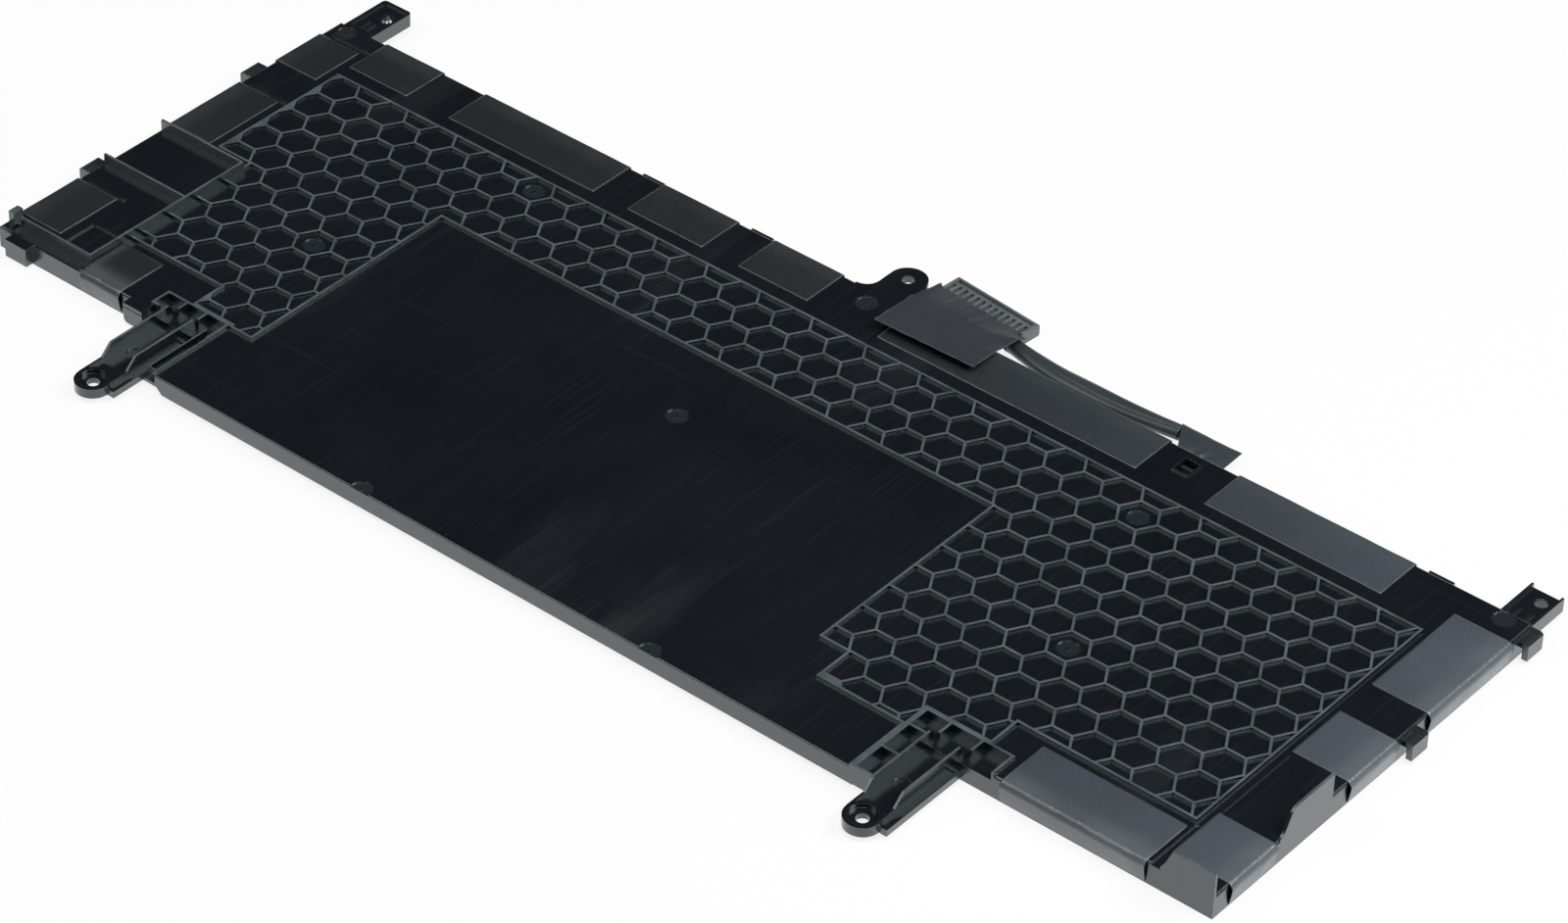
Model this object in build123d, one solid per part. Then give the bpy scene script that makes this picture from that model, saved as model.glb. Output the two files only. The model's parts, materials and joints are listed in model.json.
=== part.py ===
from build123d import *
import math
import os

# Flat lithium pouch-cell battery for a laptop, seen from its ribbed side. Millimetres.
# X runs along the long back edge, Y towards that edge, Z up from the table it lies on.
# The moulded tray is open underneath: six cells and a board sit in it under a black film.

# Cells and the bays that hold them
cell_count = 6
cell_width = 45.0
cell_length = 66.0
cell_clearance = 0.3
cell_seal_length = 4.0
cell_seal_thickness = 0.3
cell_seal_inset = 1.2
bay_rib = 0.6
pad_thickness = 0.15
pad_width = 22.0
pad_length = 48.0
film_thickness = 0.12
film_clearance = 0.15

# Tray, walls and levels
side_wall = 1.85
end_wall = 1.0
bay_wall = 1.0
front_strip = 4.3
board_bay_depth = 13.3
plate_level = 4.75
plate_thickness = 0.75
rib_height = 0.55
rib_width = 0.5
tray_corner = 0.8
edge_round = 0.7
ledge_level_step = 0.75

# Middle block that reaches forward under the touch panel
block_left_inset = 54.4
block_right_inset = 63.8
block_reach = 13.8
block_lift = 1.0
block_wall = 0.8
block_rib_pitch = 27.0
block_corner = 1.6

# Honeycomb field: outline insets from the tray's edges, and its lattice
hex_side = 4.2
lattice_from_left = 22.9
lattice_from_back = 28.9
smallest_pocket = 3.0
field_back_inset = 14.3
field_left_inset = 12.8
field_right_inset = 13.0
field_left_step = 21.0
field_left_step_from_back = 47.4
field_front_left = 13.1
field_front_right = 12.9
field_front_right_end = 50.1
panel_left_inset = 60.1
panel_right_inset = 89.4
panel_back_inset = 36.2
panel_step_right = 6.3
panel_step_front = 8.4
panel_left_front = 5.2
arm_box_back = 5.8
field_beside_left_box = 44.7

# Tall ribs round the left corner compartments, and fine lines on their floors
fin_height = 1.9
fin_width = 0.5
fin_from_back = (49.4, 64.6)
last_fin_from_front = 2.85
last_fin_start = 3.2
fin_run = 21.5
box_rib_from_left = (13.0, 19.4)
box_rib_from_front = (4.9, 11.9)
corner_post = 1.4
corner_ledge_drop = 0.6
corner_ledge_start = 2.2
low_rib_height = 0.35
low_rib_from_back = (4.9, 28.0)
last_low_rib_from_front = 20.9
low_rib_start = 2.3
low_rib_end = 11.9

# Standing walls on the right: one beside the edge, one across the front corner
flange_top = 9.5
flange_thickness = 0.55
side_flange_from_front = (18.2, 22.4, 33.0)
corner_flange_length = 11.3
corner_flange_rise = 2.7
corner_slot_width = 1.9
corner_slot_length = 12.1
corner_slot_depth = 0.4
ledge_groove_width = 0.5
ledge_groove_depth = 0.3
ledge_bead_width = 0.4
ledge_bead_height = 0.25
ledge_bead_from_back = (55.8, 75.1)

# Screw arms at the front, measured from the screw hole
screw_hole = 2.4
screw_land = 5.4
screw_land_depth = 0.85
lug_radius = 3.5
lug_top = 3.1
arm_bottom = 1.15
arm_reach = 20.2
left_arm_from_left = 45.2
right_arm_from_right = 56.4
channel_floor = 2.5
pocket_floor = 3.5
arm_wall = 0.5
arm_left_wall = 3.3
arm_inner_wall = 2.75
arm_outer_wall = 5.1
arm_rail_width = 1.3
arm_rail_top = 2.45
left_wall_end = 7.8
right_wall_end = 6.8
arm_wall_slope = 2.4
left_wall_start = 2.9
right_wall_start = 2.1
arm_wall_bevel = 0.6
ejector_mark = 3.2
ejector_mark_from_hole = 10.8
left_box_before = 6.6
left_box_after = 9.0
left_box_ribs = (-1.4, 3.6)
left_box_front = 1.2
left_box_return = 1.9
left_slot_from_hole = (7.15, 8.75)
left_slot_reach = 12.8
left_slot_back = 1.7
slot_bar = 0.3
slot_bar_height = 1.1
web_thickness = 0.75
right_box_after = 11.3
right_box_ribs = (-1.9, 4.9)
right_box_cross = (0.65, -6.65)
right_box_front = 1.1
box_open_step = 1.4
side_block_width = 4.8
side_block_reach = 1.9
side_block_from_left = 34.4
side_block_seam = 0.2

# Holes and tabs along the back
rear_hole_reach = 6.8
ear_from_middle = -2.75
ear_width = 7.6
ear_thickness = 1.6
ear_hole = 2.5
ear_fillet = 3.0
left_tab_inset = 1.2
left_tab_width = 7.2
left_tab_reach = 11.3
left_tab_thickness = 2.85
left_tab_pocket = 0.4
left_tab_floor = 0.6
left_tab_rim = 0.75
left_tab_hole = 1.5
left_tab_hole_x = 4.65
left_tab_boss = 2.1
right_tab_width = 6.7
right_tab_reach = 9.6
right_tab_top = 3.5
right_tab_thickness = 2.0
right_tab_rail = 0.45
right_tab_rail_height = 0.9
right_tab_hole = 2.5
right_tab_hole_x = 2.8

# Hooks on the two short sides and stops on the back
hook_reach = 2.6
hook_length = 4.6
hook_top = 4.6
hook_groove = 0.4
hook_groove_depth = 0.25
hook_plate = 1.3
hook_lip = 1.2
hook_lip_bottom = 1.0
left_hook_from_back = (21.0, 64.3)
right_hook_from_back = (0.7, 35.2)
front_catch_width = 5.5
front_catch_from_left = 3.5
front_catch_reach = 2.0
front_catch_height = (0.5, 4.3)
stop_width = 5.2
stop_reach = 0.6
stop_from_left = (78.3, 105.1)
stop_from_right = 16.6

# Window over the board and round moulding marks
window_width = 3.1
window_depth = 3.8
window_from_right = 68.9
window_from_back = 2.7
window_rim = 0.3
window_rim_height = 0.3
mark_radius = 2.2
mark_depth = 0.25
mark_nub = 0.35
mark_sides = 16
mark_cells = ((7, 1), (4, -4), (30, 1), (32, -4))
left_mark_places = ((3.7, 2.4), (136.3, 3.9), (132.5, 52.8))
right_mark_place = (4.5, 2.3)
front_mark_from_block = (50.4, 117.2)

# Board, parts on it, tabs and links
board_width = 9.6
board_length = 232.0
board_thickness = 0.8
board_gap = 0.3
stand_height = 1.3
stand_width = 1.2
stand_count = 5
tab_width = 5.0
tab_thickness = 0.15
tab_spacing = 22.0
tab_notch = 0.8
tab_landing = 4.2
link_width = 3.2
link_thickness = 0.2
switch_chip = (5.2, 6.0, 1.0)
gauge_chip = (7.0, 5.0, 0.9)
fuse_body = (9.0, 3.2, 0.9)
shunt_body = (6.4, 3.2, 0.8)
small_part = (1.6, 0.8, 0.6)
small_part_count = 8
board_notch = 3.2
sensor_size = (3.0, 1.6, 0.7)
insulation_thickness = 0.1

# Tape strips folded over the edges
tape_thickness = 0.12
tape_gap = 0.02
tape_bend = 0.45
tape_crest = 1.35
tape_foot = 0.35
tape_swell_angle = 80.0
crest_steps = 5
back_tape_run = 10.9
back_tape_drop = 3.6
back_tapes_from_left = ((12.4, 27.5), (38.4, 75.4), (83.8, 102.3), (111.1, 127.7))
back_tapes_from_right = ((136.0, 77.2), (62.1, 24.3))
left_tape_run = 10.6
left_tapes_from_back = ((6.1, 18.4), (28.5, 47.4))
left_tape_from_front = (20.4, 5.5)
right_tape_run = 11.6
right_tapes_from_back = ((6.9, 31.7), (40.9, 54.7))
right_tape_from_front = (17.1, 4.3)
front_tape_run = 11.2
front_tape_from_left = (21.8, 31.9)
front_tape_from_right = (43.4, 13.5)

# Harness from the board's window at the back, and its connector
wrap_width = 12.5
wrap_from_right = 79.3
wrap_reach = 7.6
wrap_height = 3.4
wrap_skew = 1.3
cord_diameter = 3.2
cord_rest = 0.1
cord_route = ((60.6, 58.5), (41.4, 57.0), (21.8, 59.2))
wire_count = 13
wire_layers = 3
wire_size = 0.45
wire_pitch = 0.58
wire_gap = 0.2
wire_dip = 1.8
plug_length = 20.4
plug_depth = 4.6
plug_height = 2.5
plug_rest = 0.15
plug_turn = -5.6
plug_centre = (11.95, 65.3)
slot_width = 0.8
slot_depth = 1.3
slot_length = 2.4
jaw = 0.7
pin_width = 0.5
pin_height = 0.5
flap_thickness = 0.25
flap_front = (43.0, 6.9)
flap_crest = (57.0, 5.0)
flap_left = 1.55
flap_width = 23.0

# Places that follow from the sizes above
bay_width = cell_width + 2 * cell_clearance
body_length = cell_count * bay_width + (cell_count - 1) * bay_rib + 2 * side_wall
bay_length = cell_length + cell_seal_length + 2 * cell_clearance
body_depth = (end_wall + front_strip + bay_wall + bay_length + bay_wall
              + board_bay_depth + end_wall)
plate_under = plate_level - plate_thickness
rib_level = plate_level + rib_height
left = -body_length / 2
right = body_length / 2
back = (body_depth + arm_reach + lug_radius - left_tab_reach) / 2
front = back - body_depth
bay_front = front + end_wall + front_strip + bay_wall
bay_back = bay_front + bay_length
board_bay_front = bay_back + bay_wall
board_bay_back = back - end_wall
block_left = left + block_left_inset
block_right = right - block_right_inset
block_front = front - block_reach
left_hole_x = left + left_arm_from_left
right_hole_x = right - right_arm_from_right
arm_spacing = right_hole_x - left_hole_x
arm_hole_y = front - arm_reach
rear_hole_y = back + rear_hole_reach
board_top = plate_under - stand_height
board_under = board_top - board_thickness
slot_top = plug_rest + plug_height


def slab(x, y, z):
    """A plain block from its three (low, high) pairs."""
    size = [b - a for a, b in (x, y, z)]
    middle = [(a + b) / 2 for a, b in (x, y, z)]
    return Pos(*middle) * Box(*size)


def plan(points, z):
    """A plan outline of straight sides, drawn up between two levels."""
    face = make_face(Polyline(*points, close=True))
    return Pos(0, 0, z[0]) * extrude(face, amount=z[1] - z[0])


def across(points, x):
    """An outline in Y and Z, drawn along X."""
    face = Plane.YZ * make_face(Polyline(*points, close=True))
    return Pos(x[0], 0, 0) * extrude(face, amount=x[1] - x[0])


def along(points, y):
    """An outline in X and Z, drawn along Y."""
    face = Plane.XZ * make_face(Polyline(*points, close=True))
    return Pos(0, y[1], 0) * extrude(face, amount=y[1] - y[0])


def disc(x, y, radius, z):
    """A round bar or hole between two levels."""
    return Pos(x, y, (z[0] + z[1]) / 2) * Cylinder(radius, z[1] - z[0])


def spread(count, pitch):
    """Evenly spaced places about zero."""
    return [(i - (count - 1) / 2) * pitch for i in range(count)]


def field_outline():
    """Outer corners of the honeycomb field, from its back left corner round."""
    x_left = left + field_left_inset
    x_right = right - field_right_inset
    y_back = back - field_back_inset
    x_step = left + field_left_step
    y_step = back - field_left_step_from_back
    y_left = front + field_front_left
    y_right = front + field_front_right
    x_box_left = left + field_beside_left_box
    x_box_right = right - field_front_right_end
    y_box = front + arm_box_back
    x_panel_left = left + panel_left_inset
    x_panel_right = right - panel_right_inset
    y_panel = back - panel_back_inset
    x_low = x_panel_right + panel_step_right
    y_low = front + panel_step_front
    return [(x_left, y_back), (x_right, y_back), (x_right, y_right), (x_box_right, y_right),
            (x_box_right, y_box), (block_right, y_box), (block_right, front), (x_low, front),
            (x_low, y_low), (x_panel_right, y_low), (x_panel_right, y_panel),
            (x_panel_left, y_panel), (x_panel_left, front + panel_left_front),
            (block_left, front + panel_left_front), (block_left, y_box),
            (x_box_left, y_box), (x_box_left, y_left), (x_step, y_left), (x_step, y_step),
            (x_left, y_step)]


def inside(point, outline):
    """Whether a point is inside a closed outline, by counting the sides to its right."""
    x, y = point
    hit = False
    for (ax, ay), (bx, by) in zip(outline, outline[1:] + outline[:1]):
        if (ay > y) != (by > y) and x < ax + (y - ay) * (bx - ax) / (by - ay):
            hit = not hit
    return hit


def cell_middle(column, row):
    """Centre of one honeycomb cell; odd columns are half a cell further back."""
    x = left + lattice_from_left + 1.5 * hex_side * column
    y = back - lattice_from_back + math.sqrt(3) * hex_side * (row + 0.5 * (column % 2))
    return x, y


def honeycomb():
    """The rim and ribs of the field: its outline less one clipped pocket for each cell."""
    outline = field_outline()
    field = make_face(Polyline(*outline, close=True))
    inner = offset(field, amount=-rib_width, kind=Kind.INTERSECTION)
    ring = order_ring(inner.face().outer_wire())
    pocket_radius = hex_side - rib_width / math.sqrt(3)
    columns = int(body_length / (1.5 * hex_side)) + 2
    rows = int(body_depth / (math.sqrt(3) * hex_side)) + 2
    pockets = []
    for column in range(-4, columns):
        for row in range(-rows, rows):
            x, y = cell_middle(column, row)
            tips = [(x + pocket_radius * math.cos(math.radians(60 * k)),
                     y + pocket_radius * math.sin(math.radians(60 * k))) for k in range(6)]
            held = [inside(tip, ring) for tip in tips]
            cut_by = any(math.dist((x, y), c) < pocket_radius for c in ring)
            near = math.dist((x, y), nearest(ring, (x, y))) < pocket_radius
            hexagon = Wire(Polyline(*tips, close=True).edges())
            if all(held) and not cut_by:
                pockets.append(hexagon)
            elif any(held) or cut_by or near:
                piece = make_face(hexagon.edges()) & inner
                for face in piece.faces():
                    if face.area > smallest_pocket:
                        pockets.append(face.outer_wire())
    ribs = Face(field.face().outer_wire(), pockets)
    return Pos(0, 0, plate_level) * extrude(ribs, amount=rib_height, dir=(0, 0, 1))


def order_ring(wire):
    """Corners of a closed wire in order."""
    return [(e.position_at(0).X, e.position_at(0).Y) for e in wire.order_edges()]


def nearest(ring, point):
    """Nearest point on a closed outline."""
    best = None
    px, py = point
    for (ax, ay), (bx, by) in zip(ring, ring[1:] + ring[:1]):
        dx, dy = bx - ax, by - ay
        t = max(0.0, min(1.0, ((px - ax) * dx + (py - ay) * dy) / (dx * dx + dy * dy)))
        q = (ax + t * dx, ay + t * dy)
        if best is None or math.dist(q, point) < math.dist(best, point):
            best = q
    return best


def tray_shell():
    """Plate with its side walls, and the middle block that reaches forward."""
    body = slab((left, right), (front, back), (0, plate_level))
    edges = body.edges().filter_by(Plane.XY).group_by(Axis.Z)[-1]
    body = fillet(edges, edge_round)
    block = slab((block_left, block_right), (block_front, front + edge_round), (block_lift, plate_level))
    lower = block.edges().filter_by(Axis.Y).group_by(Axis.Z)[0].sort_by(Axis.X)[0]
    block = chamfer(lower, block_corner)
    top = block.edges().filter_by(Axis.X).group_by(Axis.Z)[-1].sort_by(Axis.Y)[0]
    block = fillet(top, edge_round / 2)
    return body + block


def under_cavities():
    """All that is hollow under the plate: cell bays, board bay, front strip and middle block."""
    bays = [slab((x - bay_width / 2, x + bay_width / 2), (bay_front, bay_back), (0, plate_under))
            for x in spread(cell_count, bay_width + bay_rib)]
    inner_x = (left + side_wall, right - side_wall)
    board_bay = slab(inner_x, (board_bay_front, board_bay_back), (0, plate_under))
    strip = slab(inner_x, (front + end_wall, bay_front - bay_wall), (0, plate_under))
    film_seat = slab(inner_x, (front + end_wall, board_bay_back), (0, film_thickness))
    block_x = (block_left + block_corner + block_wall, block_right - block_wall)
    hollow = slab(block_x, (block_front + block_wall, front - block_wall), (0, plate_under))
    return bays + [board_bay, strip, film_seat, hollow]


def block_ribs():
    """Cross ribs under the middle block."""
    count = int((block_right - block_left) / block_rib_pitch)
    middle = (block_left + block_right) / 2
    return [slab((middle + x - bay_rib / 2, middle + x + bay_rib / 2),
                 (block_front + block_wall / 2, front), (block_lift, plate_under + plate_thickness / 2))
            for x in spread(count, block_rib_pitch)]


def board_stands():
    """Short ribs under the plate that the board lies against, and the tab notches' places."""
    y = (board_bay_front - bay_wall / 2, board_bay_back + end_wall / 2)
    pitch = (board_length - 3 * stand_width) / (stand_count - 1)
    return [slab((x - stand_width / 2, x + stand_width / 2), y,
                 (board_top, plate_under + plate_thickness / 2))
            for x in spread(stand_count, pitch)]


def tab_places():
    """X of every cell tab, two to a cell."""
    return [x + side * tab_spacing / 2 for x in spread(cell_count, bay_width + bay_rib)
            for side in (-1, 1)]


def tab_notches():
    """Gaps in the wall behind the cells for their tabs."""
    half = tab_width / 2 + tab_notch
    return [slab((x - half, x + half), (bay_back - bay_wall, board_bay_front + bay_wall), (0, plate_under))
            for x in tab_places()]


def corner_fins():
    """Tall ribs that divide the ledge at the left, with a low box at the front corner."""
    z = (plate_level - ledge_level_step / 2, plate_level + fin_height)
    half = fin_width / 2
    fins = []
    for from_back in fin_from_back:
        y = back - from_back
        fins.append(slab((left, left + fin_run), (y - half, y + half), z))
    y_last = front + last_fin_from_front
    fins.append(slab((left + last_fin_start, left + fin_run), (y_last - half, y_last + half), z))
    fins.append(slab((left + fin_run - fin_width, left + fin_run),
                     (y_last - half, back - fin_from_back[0] + half), z))
    fins.append(slab((left, left + corner_post), (y_last - half, y_last + 1.5 * corner_post), z))
    low = (plate_level - ledge_level_step / 2, plate_level + low_rib_height)
    x_box = [left + d for d in box_rib_from_left]
    y_box = [front + d for d in box_rib_from_front]
    fins.append(slab((x_box[0] - half, x_box[0] + half), y_box, low))
    fins.append(slab((x_box[0] - half, x_box[1]), (y_box[1] - half, y_box[1] + half), low))
    low_rib_places = [back - d for d in low_rib_from_back] + [front + last_low_rib_from_front]
    for y in low_rib_places:
        fins.append(slab((left + low_rib_start, left + low_rib_end), (y - half, y + half), low))
    return fins


def corner_ledge():
    """Step down in front of the last fin, beside a corner that keeps its height."""
    y = front + last_fin_from_front - fin_width / 2
    return slab((left + corner_ledge_start, left + fin_run - fin_width), (front - 1, y),
                (plate_level - corner_ledge_drop, rib_level + fin_height))


def standing_flanges():
    """Thin walls that stand above the ledge at the right side and across the front corner."""
    low, mid, high = (front + d for d in side_flange_from_front)
    foot = plate_level - ledge_level_step
    rise = flange_top - plate_level
    profile = Polyline((high, foot), (high, flange_top), (mid, flange_top))
    bend = Spline((mid, flange_top), ((low + mid) / 2, plate_level + rise / 2), (low, plate_level),
                  tangents=((-1, -0.35), (-1, -0.35)))
    close = Polyline((low, plate_level), (low, foot), (high, foot))
    face = Plane.YZ * make_face(profile.edges() + bend.edges() + close.edges())
    side = Pos(right - flange_thickness, 0, 0) * extrude(face, amount=flange_thickness)
    start = right - corner_flange_length
    corner = along([(start - corner_slot_width / 2, foot), (start, plate_level - corner_slot_depth),
                    (start + corner_flange_rise / 2, plate_level + rise / 3),
                    (start + corner_flange_rise, flange_top), (right, flange_top), (right, foot)],
                   (front, front + flange_thickness))
    return [side, corner]


def right_ledge_lines():
    """The groove and slot beside the honeycomb field at the right, cut into the ledge."""
    x = right - field_right_inset
    top = rib_level
    groove = slab((x, x + ledge_groove_width), (front + corner_slot_length, back - field_back_inset),
                  (plate_level - ledge_groove_depth, top))
    slot_x = x + corner_slot_width / 2 + ledge_groove_width / 2
    y = (front - 1, front + corner_slot_length)
    slot = slab((slot_x - corner_slot_width / 2, slot_x + corner_slot_width / 2), y,
                (plate_level - corner_slot_depth, top))
    end = disc(slot_x, y[1], corner_slot_width / 2, (plate_level - corner_slot_depth, top))
    return [groove, slot, end]


def ledge_bead():
    """Fine raised line on the bare part of the right ledge."""
    x = right - field_right_inset + 3 * ledge_groove_width
    y = [back - d for d in ledge_bead_from_back]
    return slab((x, x + ledge_bead_width), (y[1], y[0]),
                (plate_level - ledge_level_step / 2, plate_level + ledge_bead_height))


def wall_profile(y_start, y_top):
    """Arm wall seen from the side: a bevelled back end, level, then a slope down to the lug."""
    return [(y_start, arm_bottom), (y_start, rib_level - arm_wall_bevel),
            (y_start - arm_wall_bevel, rib_level), (y_top, rib_level),
            (y_top - arm_wall_slope, lug_top), (arm_hole_y, lug_top), (arm_hole_y, arm_bottom)]


def arm_body(hole_x, y_start, y_top):
    """Channelled arm with its screw lug, and the two walls that run back into its root box."""
    x_left = hole_x - arm_left_wall - arm_wall / 2
    floor = slab((x_left, hole_x + arm_outer_wall), (arm_hole_y, front + end_wall),
                 (arm_bottom, channel_floor))
    lug = disc(hole_x, arm_hole_y, lug_radius, (arm_bottom, lug_top))
    outer = across(wall_profile(y_start, y_top), (x_left, x_left + arm_wall))
    x_inner = hole_x + arm_inner_wall
    inner = across(wall_profile(y_start, y_top), (x_inner, x_inner + arm_wall))
    return floor + lug + outer + inner


def arm_cuts(hole_x):
    """Screw hole, its sunk land, the moulding mark in the channel and the rail's trough."""
    land = lug_top - screw_land_depth
    hole = disc(hole_x, arm_hole_y, screw_hole / 2, (0, rib_level))
    sunk = disc(hole_x, arm_hole_y, screw_land / 2, (land, rib_level))
    mark = mark_cut(hole_x - ejector_mark / 8, arm_hole_y + ejector_mark_from_hole,
                    ejector_mark / 2, channel_floor - mark_depth)
    trough = slab((hole_x + arm_inner_wall + arm_wall, hole_x + arm_outer_wall - arm_rail_width / 2),
                  (arm_hole_y + lug_radius / 4, front - box_open_step),
                  (arm_rail_top - mark_depth, rib_level))
    return [hole, sunk, mark, trough]


def root_box(x, ribs, hole_x, y_front):
    """Open boxes where an arm leaves the plate: thin walls to rib level round a shallow floor."""
    y_back = front + arm_box_back
    solid = slab(x, (front, y_back), (arm_bottom, rib_level))
    edges = [x[0]] + [hole_x + r for r in ribs] + [x[1]]
    for a, b in zip(edges, edges[1:]):
        lo = a + (arm_wall if a == x[0] else arm_wall / 2)
        hi = b - (arm_wall if b == x[1] else arm_wall / 2)
        solid -= slab((lo, hi), (front - 1, y_back - arm_wall), (pocket_floor, rib_level + 1))
    return solid - slab((edges[1] - arm_wall, edges[-2] + arm_wall), (front - 1, y_front),
                        (pocket_floor, rib_level + 1))


def left_arm():
    """Left arm with the bars and web that tie it to the middle block."""
    x = (left_hole_x - left_box_before, left_hole_x + left_box_after)
    y_start = front + left_wall_start
    arm = root_box(x, left_box_ribs, left_hole_x, y_start)
    arm -= slab((x[0] - 1, left_hole_x - arm_left_wall), (front - 1, front + left_box_front),
                (pocket_floor, rib_level + 1))
    arm += slab((x[0], x[0] + left_box_return),
                (front + left_box_front, front + left_box_front + arm_wall), (arm_bottom, rib_level))
    arm += arm_body(left_hole_x, y_start, arm_hole_y + left_wall_end)
    for cut in arm_cuts(left_hole_x):
        arm -= cut
    return arm + slot_bars() + left_web()


def slot_bars():
    """Thin bars round the slot between the left arm and the middle block."""
    slot = [left_hole_x + s for s in left_slot_from_hole]
    y = (front - left_slot_reach - slot_bar, front + left_slot_back)
    z = (rib_level - slot_bar_height, rib_level)
    left_bar = slab((slot[0] - slot_bar, slot[0]), y, z)
    front_bar = slab((slot[0] - slot_bar, slot[1]), (y[0], y[0] + slot_bar), z)
    right_bar = slab((slot[1], slot[1] + slot_bar), (y[0], front + arm_box_back - arm_wall),
                     (plate_under, rib_level))
    seat = slab((slot[1], block_left + arm_wall), (y[0], front),
                (block_lift + block_corner, plate_level))
    return left_bar + front_bar + right_bar + seat


def left_web():
    """Low web that ties the left arm to the middle block under the slot."""
    x = (left_hole_x + arm_outer_wall - arm_wall, block_left + block_corner + block_wall)
    return slab(x, (front - left_slot_reach, front + end_wall), (arm_bottom, arm_bottom + web_thickness))


def right_arm():
    """Right arm, with two cross ribs that box it to the middle block."""
    x = (block_right, right_hole_x + right_box_after)
    y_start = front + right_wall_start
    arm = root_box(x, right_box_ribs, right_hole_x, y_start)
    x_rib = right_hole_x + right_box_ribs[1]
    arm -= slab((x_rib - arm_wall, x[1] - arm_wall), (front - 1, front + right_box_front),
                (pocket_floor, rib_level + 1))
    arm += arm_body(right_hole_x, y_start, arm_hole_y + right_wall_end)
    x_web = (block_right - block_wall, right_hole_x - arm_left_wall)
    web = slab(x_web, (block_front, front), (arm_bottom, rib_level))
    web += slab((block_right, x_web[1]), (front, y_start), (arm_bottom, rib_level))
    edges = [y_start + arm_wall] + [front + c for c in right_box_cross] + [block_front + arm_wall / 2]
    for a, b in zip(edges, edges[1:]):
        web -= slab((block_right + arm_wall, x_web[1]),
                    (b + arm_wall / 2, a - arm_wall / 2), (pocket_floor, rib_level + 1))
    for cut in arm_cuts(right_hole_x):
        arm -= cut
    return arm + web


def side_block():
    """Small block on the front wall beside the left arm, with its parting line."""
    x = left + side_block_from_left
    block = slab((x, x + side_block_width), (front - side_block_reach, front + end_wall),
                 (block_lift / 2, plate_level))
    block = fillet(block.edges().filter_by(Axis.Y).group_by(Axis.Z)[0], block_lift)
    seam = slab((x - 1, x + side_block_width + 1), (front - side_block_reach - 1,
                                                    front - side_block_reach + side_block_seam),
                (plate_under - side_block_seam, plate_under))
    return block - seam


def rear_ear():
    """Rounded screw ear in the middle of the back edge, blended into it at both sides."""
    z = (plate_level - ear_thickness, plate_level)
    radius = ear_width / 2
    root = slab((ear_from_middle - radius - ear_fillet, ear_from_middle + radius + ear_fillet),
                (back - end_wall, back + ear_fillet), z)
    for side in (-1, 1):
        root -= disc(ear_from_middle + side * (radius + ear_fillet), back + ear_fillet, ear_fillet,
                     (0, rib_level))
    neck = slab((ear_from_middle - radius, ear_from_middle + radius), (back - end_wall, rear_hole_y), z)
    ear = root + neck + disc(ear_from_middle, rear_hole_y, radius, z)
    return ear - disc(ear_from_middle, rear_hole_y, ear_hole / 2, (0, rib_level))


def left_tab():
    """Hollow tab at the left back corner: rimmed pocket, locating hole in a dished boss, two ribs."""
    x = (left + left_tab_inset, left + left_tab_inset + left_tab_width)
    z = (plate_level - left_tab_thickness, plate_level)
    tip = back + left_tab_reach
    floor = plate_level - left_tab_pocket
    tab = slab(x, (back - end_wall, tip), z)
    tab = fillet(tab.edges().filter_by(Axis.Z).group_by(Axis.Y)[-1], tray_corner)
    tab -= slab((x[0] + left_tab_rim, x[1] - left_tab_rim / 2),
                (back + tray_corner, tip - left_tab_rim), (floor, rib_level))
    tab -= slab((x[0] + left_tab_rim, x[1] - left_tab_rim), (back + tray_corner, tip - left_tab_rim),
                (0, floor - left_tab_floor))
    hole_x = x[0] + left_tab_hole_x
    boss = Cone(left_tab_hole, left_tab_boss / 2, left_tab_pocket,
                align=(Align.CENTER, Align.CENTER, Align.MIN))
    tab += Pos(hole_x, rear_hole_y, floor) * boss
    for side in (-1, 1):
        x_rib = (x[0] + x[1]) / 2 + side * left_tab_rim
        tab += slab((x_rib - arm_wall / 2, x_rib + arm_wall / 2),
                    (back + tray_corner, back + rear_hole_reach - 2 * left_tab_hole), (z[0], plate_level))
    return tab - disc(hole_x, rear_hole_y, left_tab_hole / 2, (0, rib_level))


def right_tab():
    """Lower tab at the right back corner with a rail along each side and two gussets."""
    x = (right - right_tab_width, right)
    z = (right_tab_top - right_tab_thickness, right_tab_top)
    y = (back - end_wall, back + right_tab_reach)
    tab = slab(x, y, z)
    rail_z = (right_tab_top - right_tab_thickness / 2, right_tab_top + right_tab_rail_height)
    for x_rail in (x[0], x[1] - right_tab_rail):
        tab += slab((x_rail, x_rail + right_tab_rail), y, rail_z)
    hole_x = right - right_tab_hole_x
    tab -= disc(hole_x, rear_hole_y, right_tab_hole / 2, (0, rib_level))
    for side in (-1, 1):
        gusset_x = (x[0] + x[1]) / 2 + side * right_tab_width / 5
        tab += across([(back - end_wall, z[0]), (back - end_wall, plate_level),
                       (back, plate_level - right_tab_rail),
                       (back + rear_hole_reach / 2, right_tab_top), (back + rear_hole_reach / 2, z[0])],
                      (gusset_x - right_tab_rail / 2, gusset_x + right_tab_rail / 2))
    return tab


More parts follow.
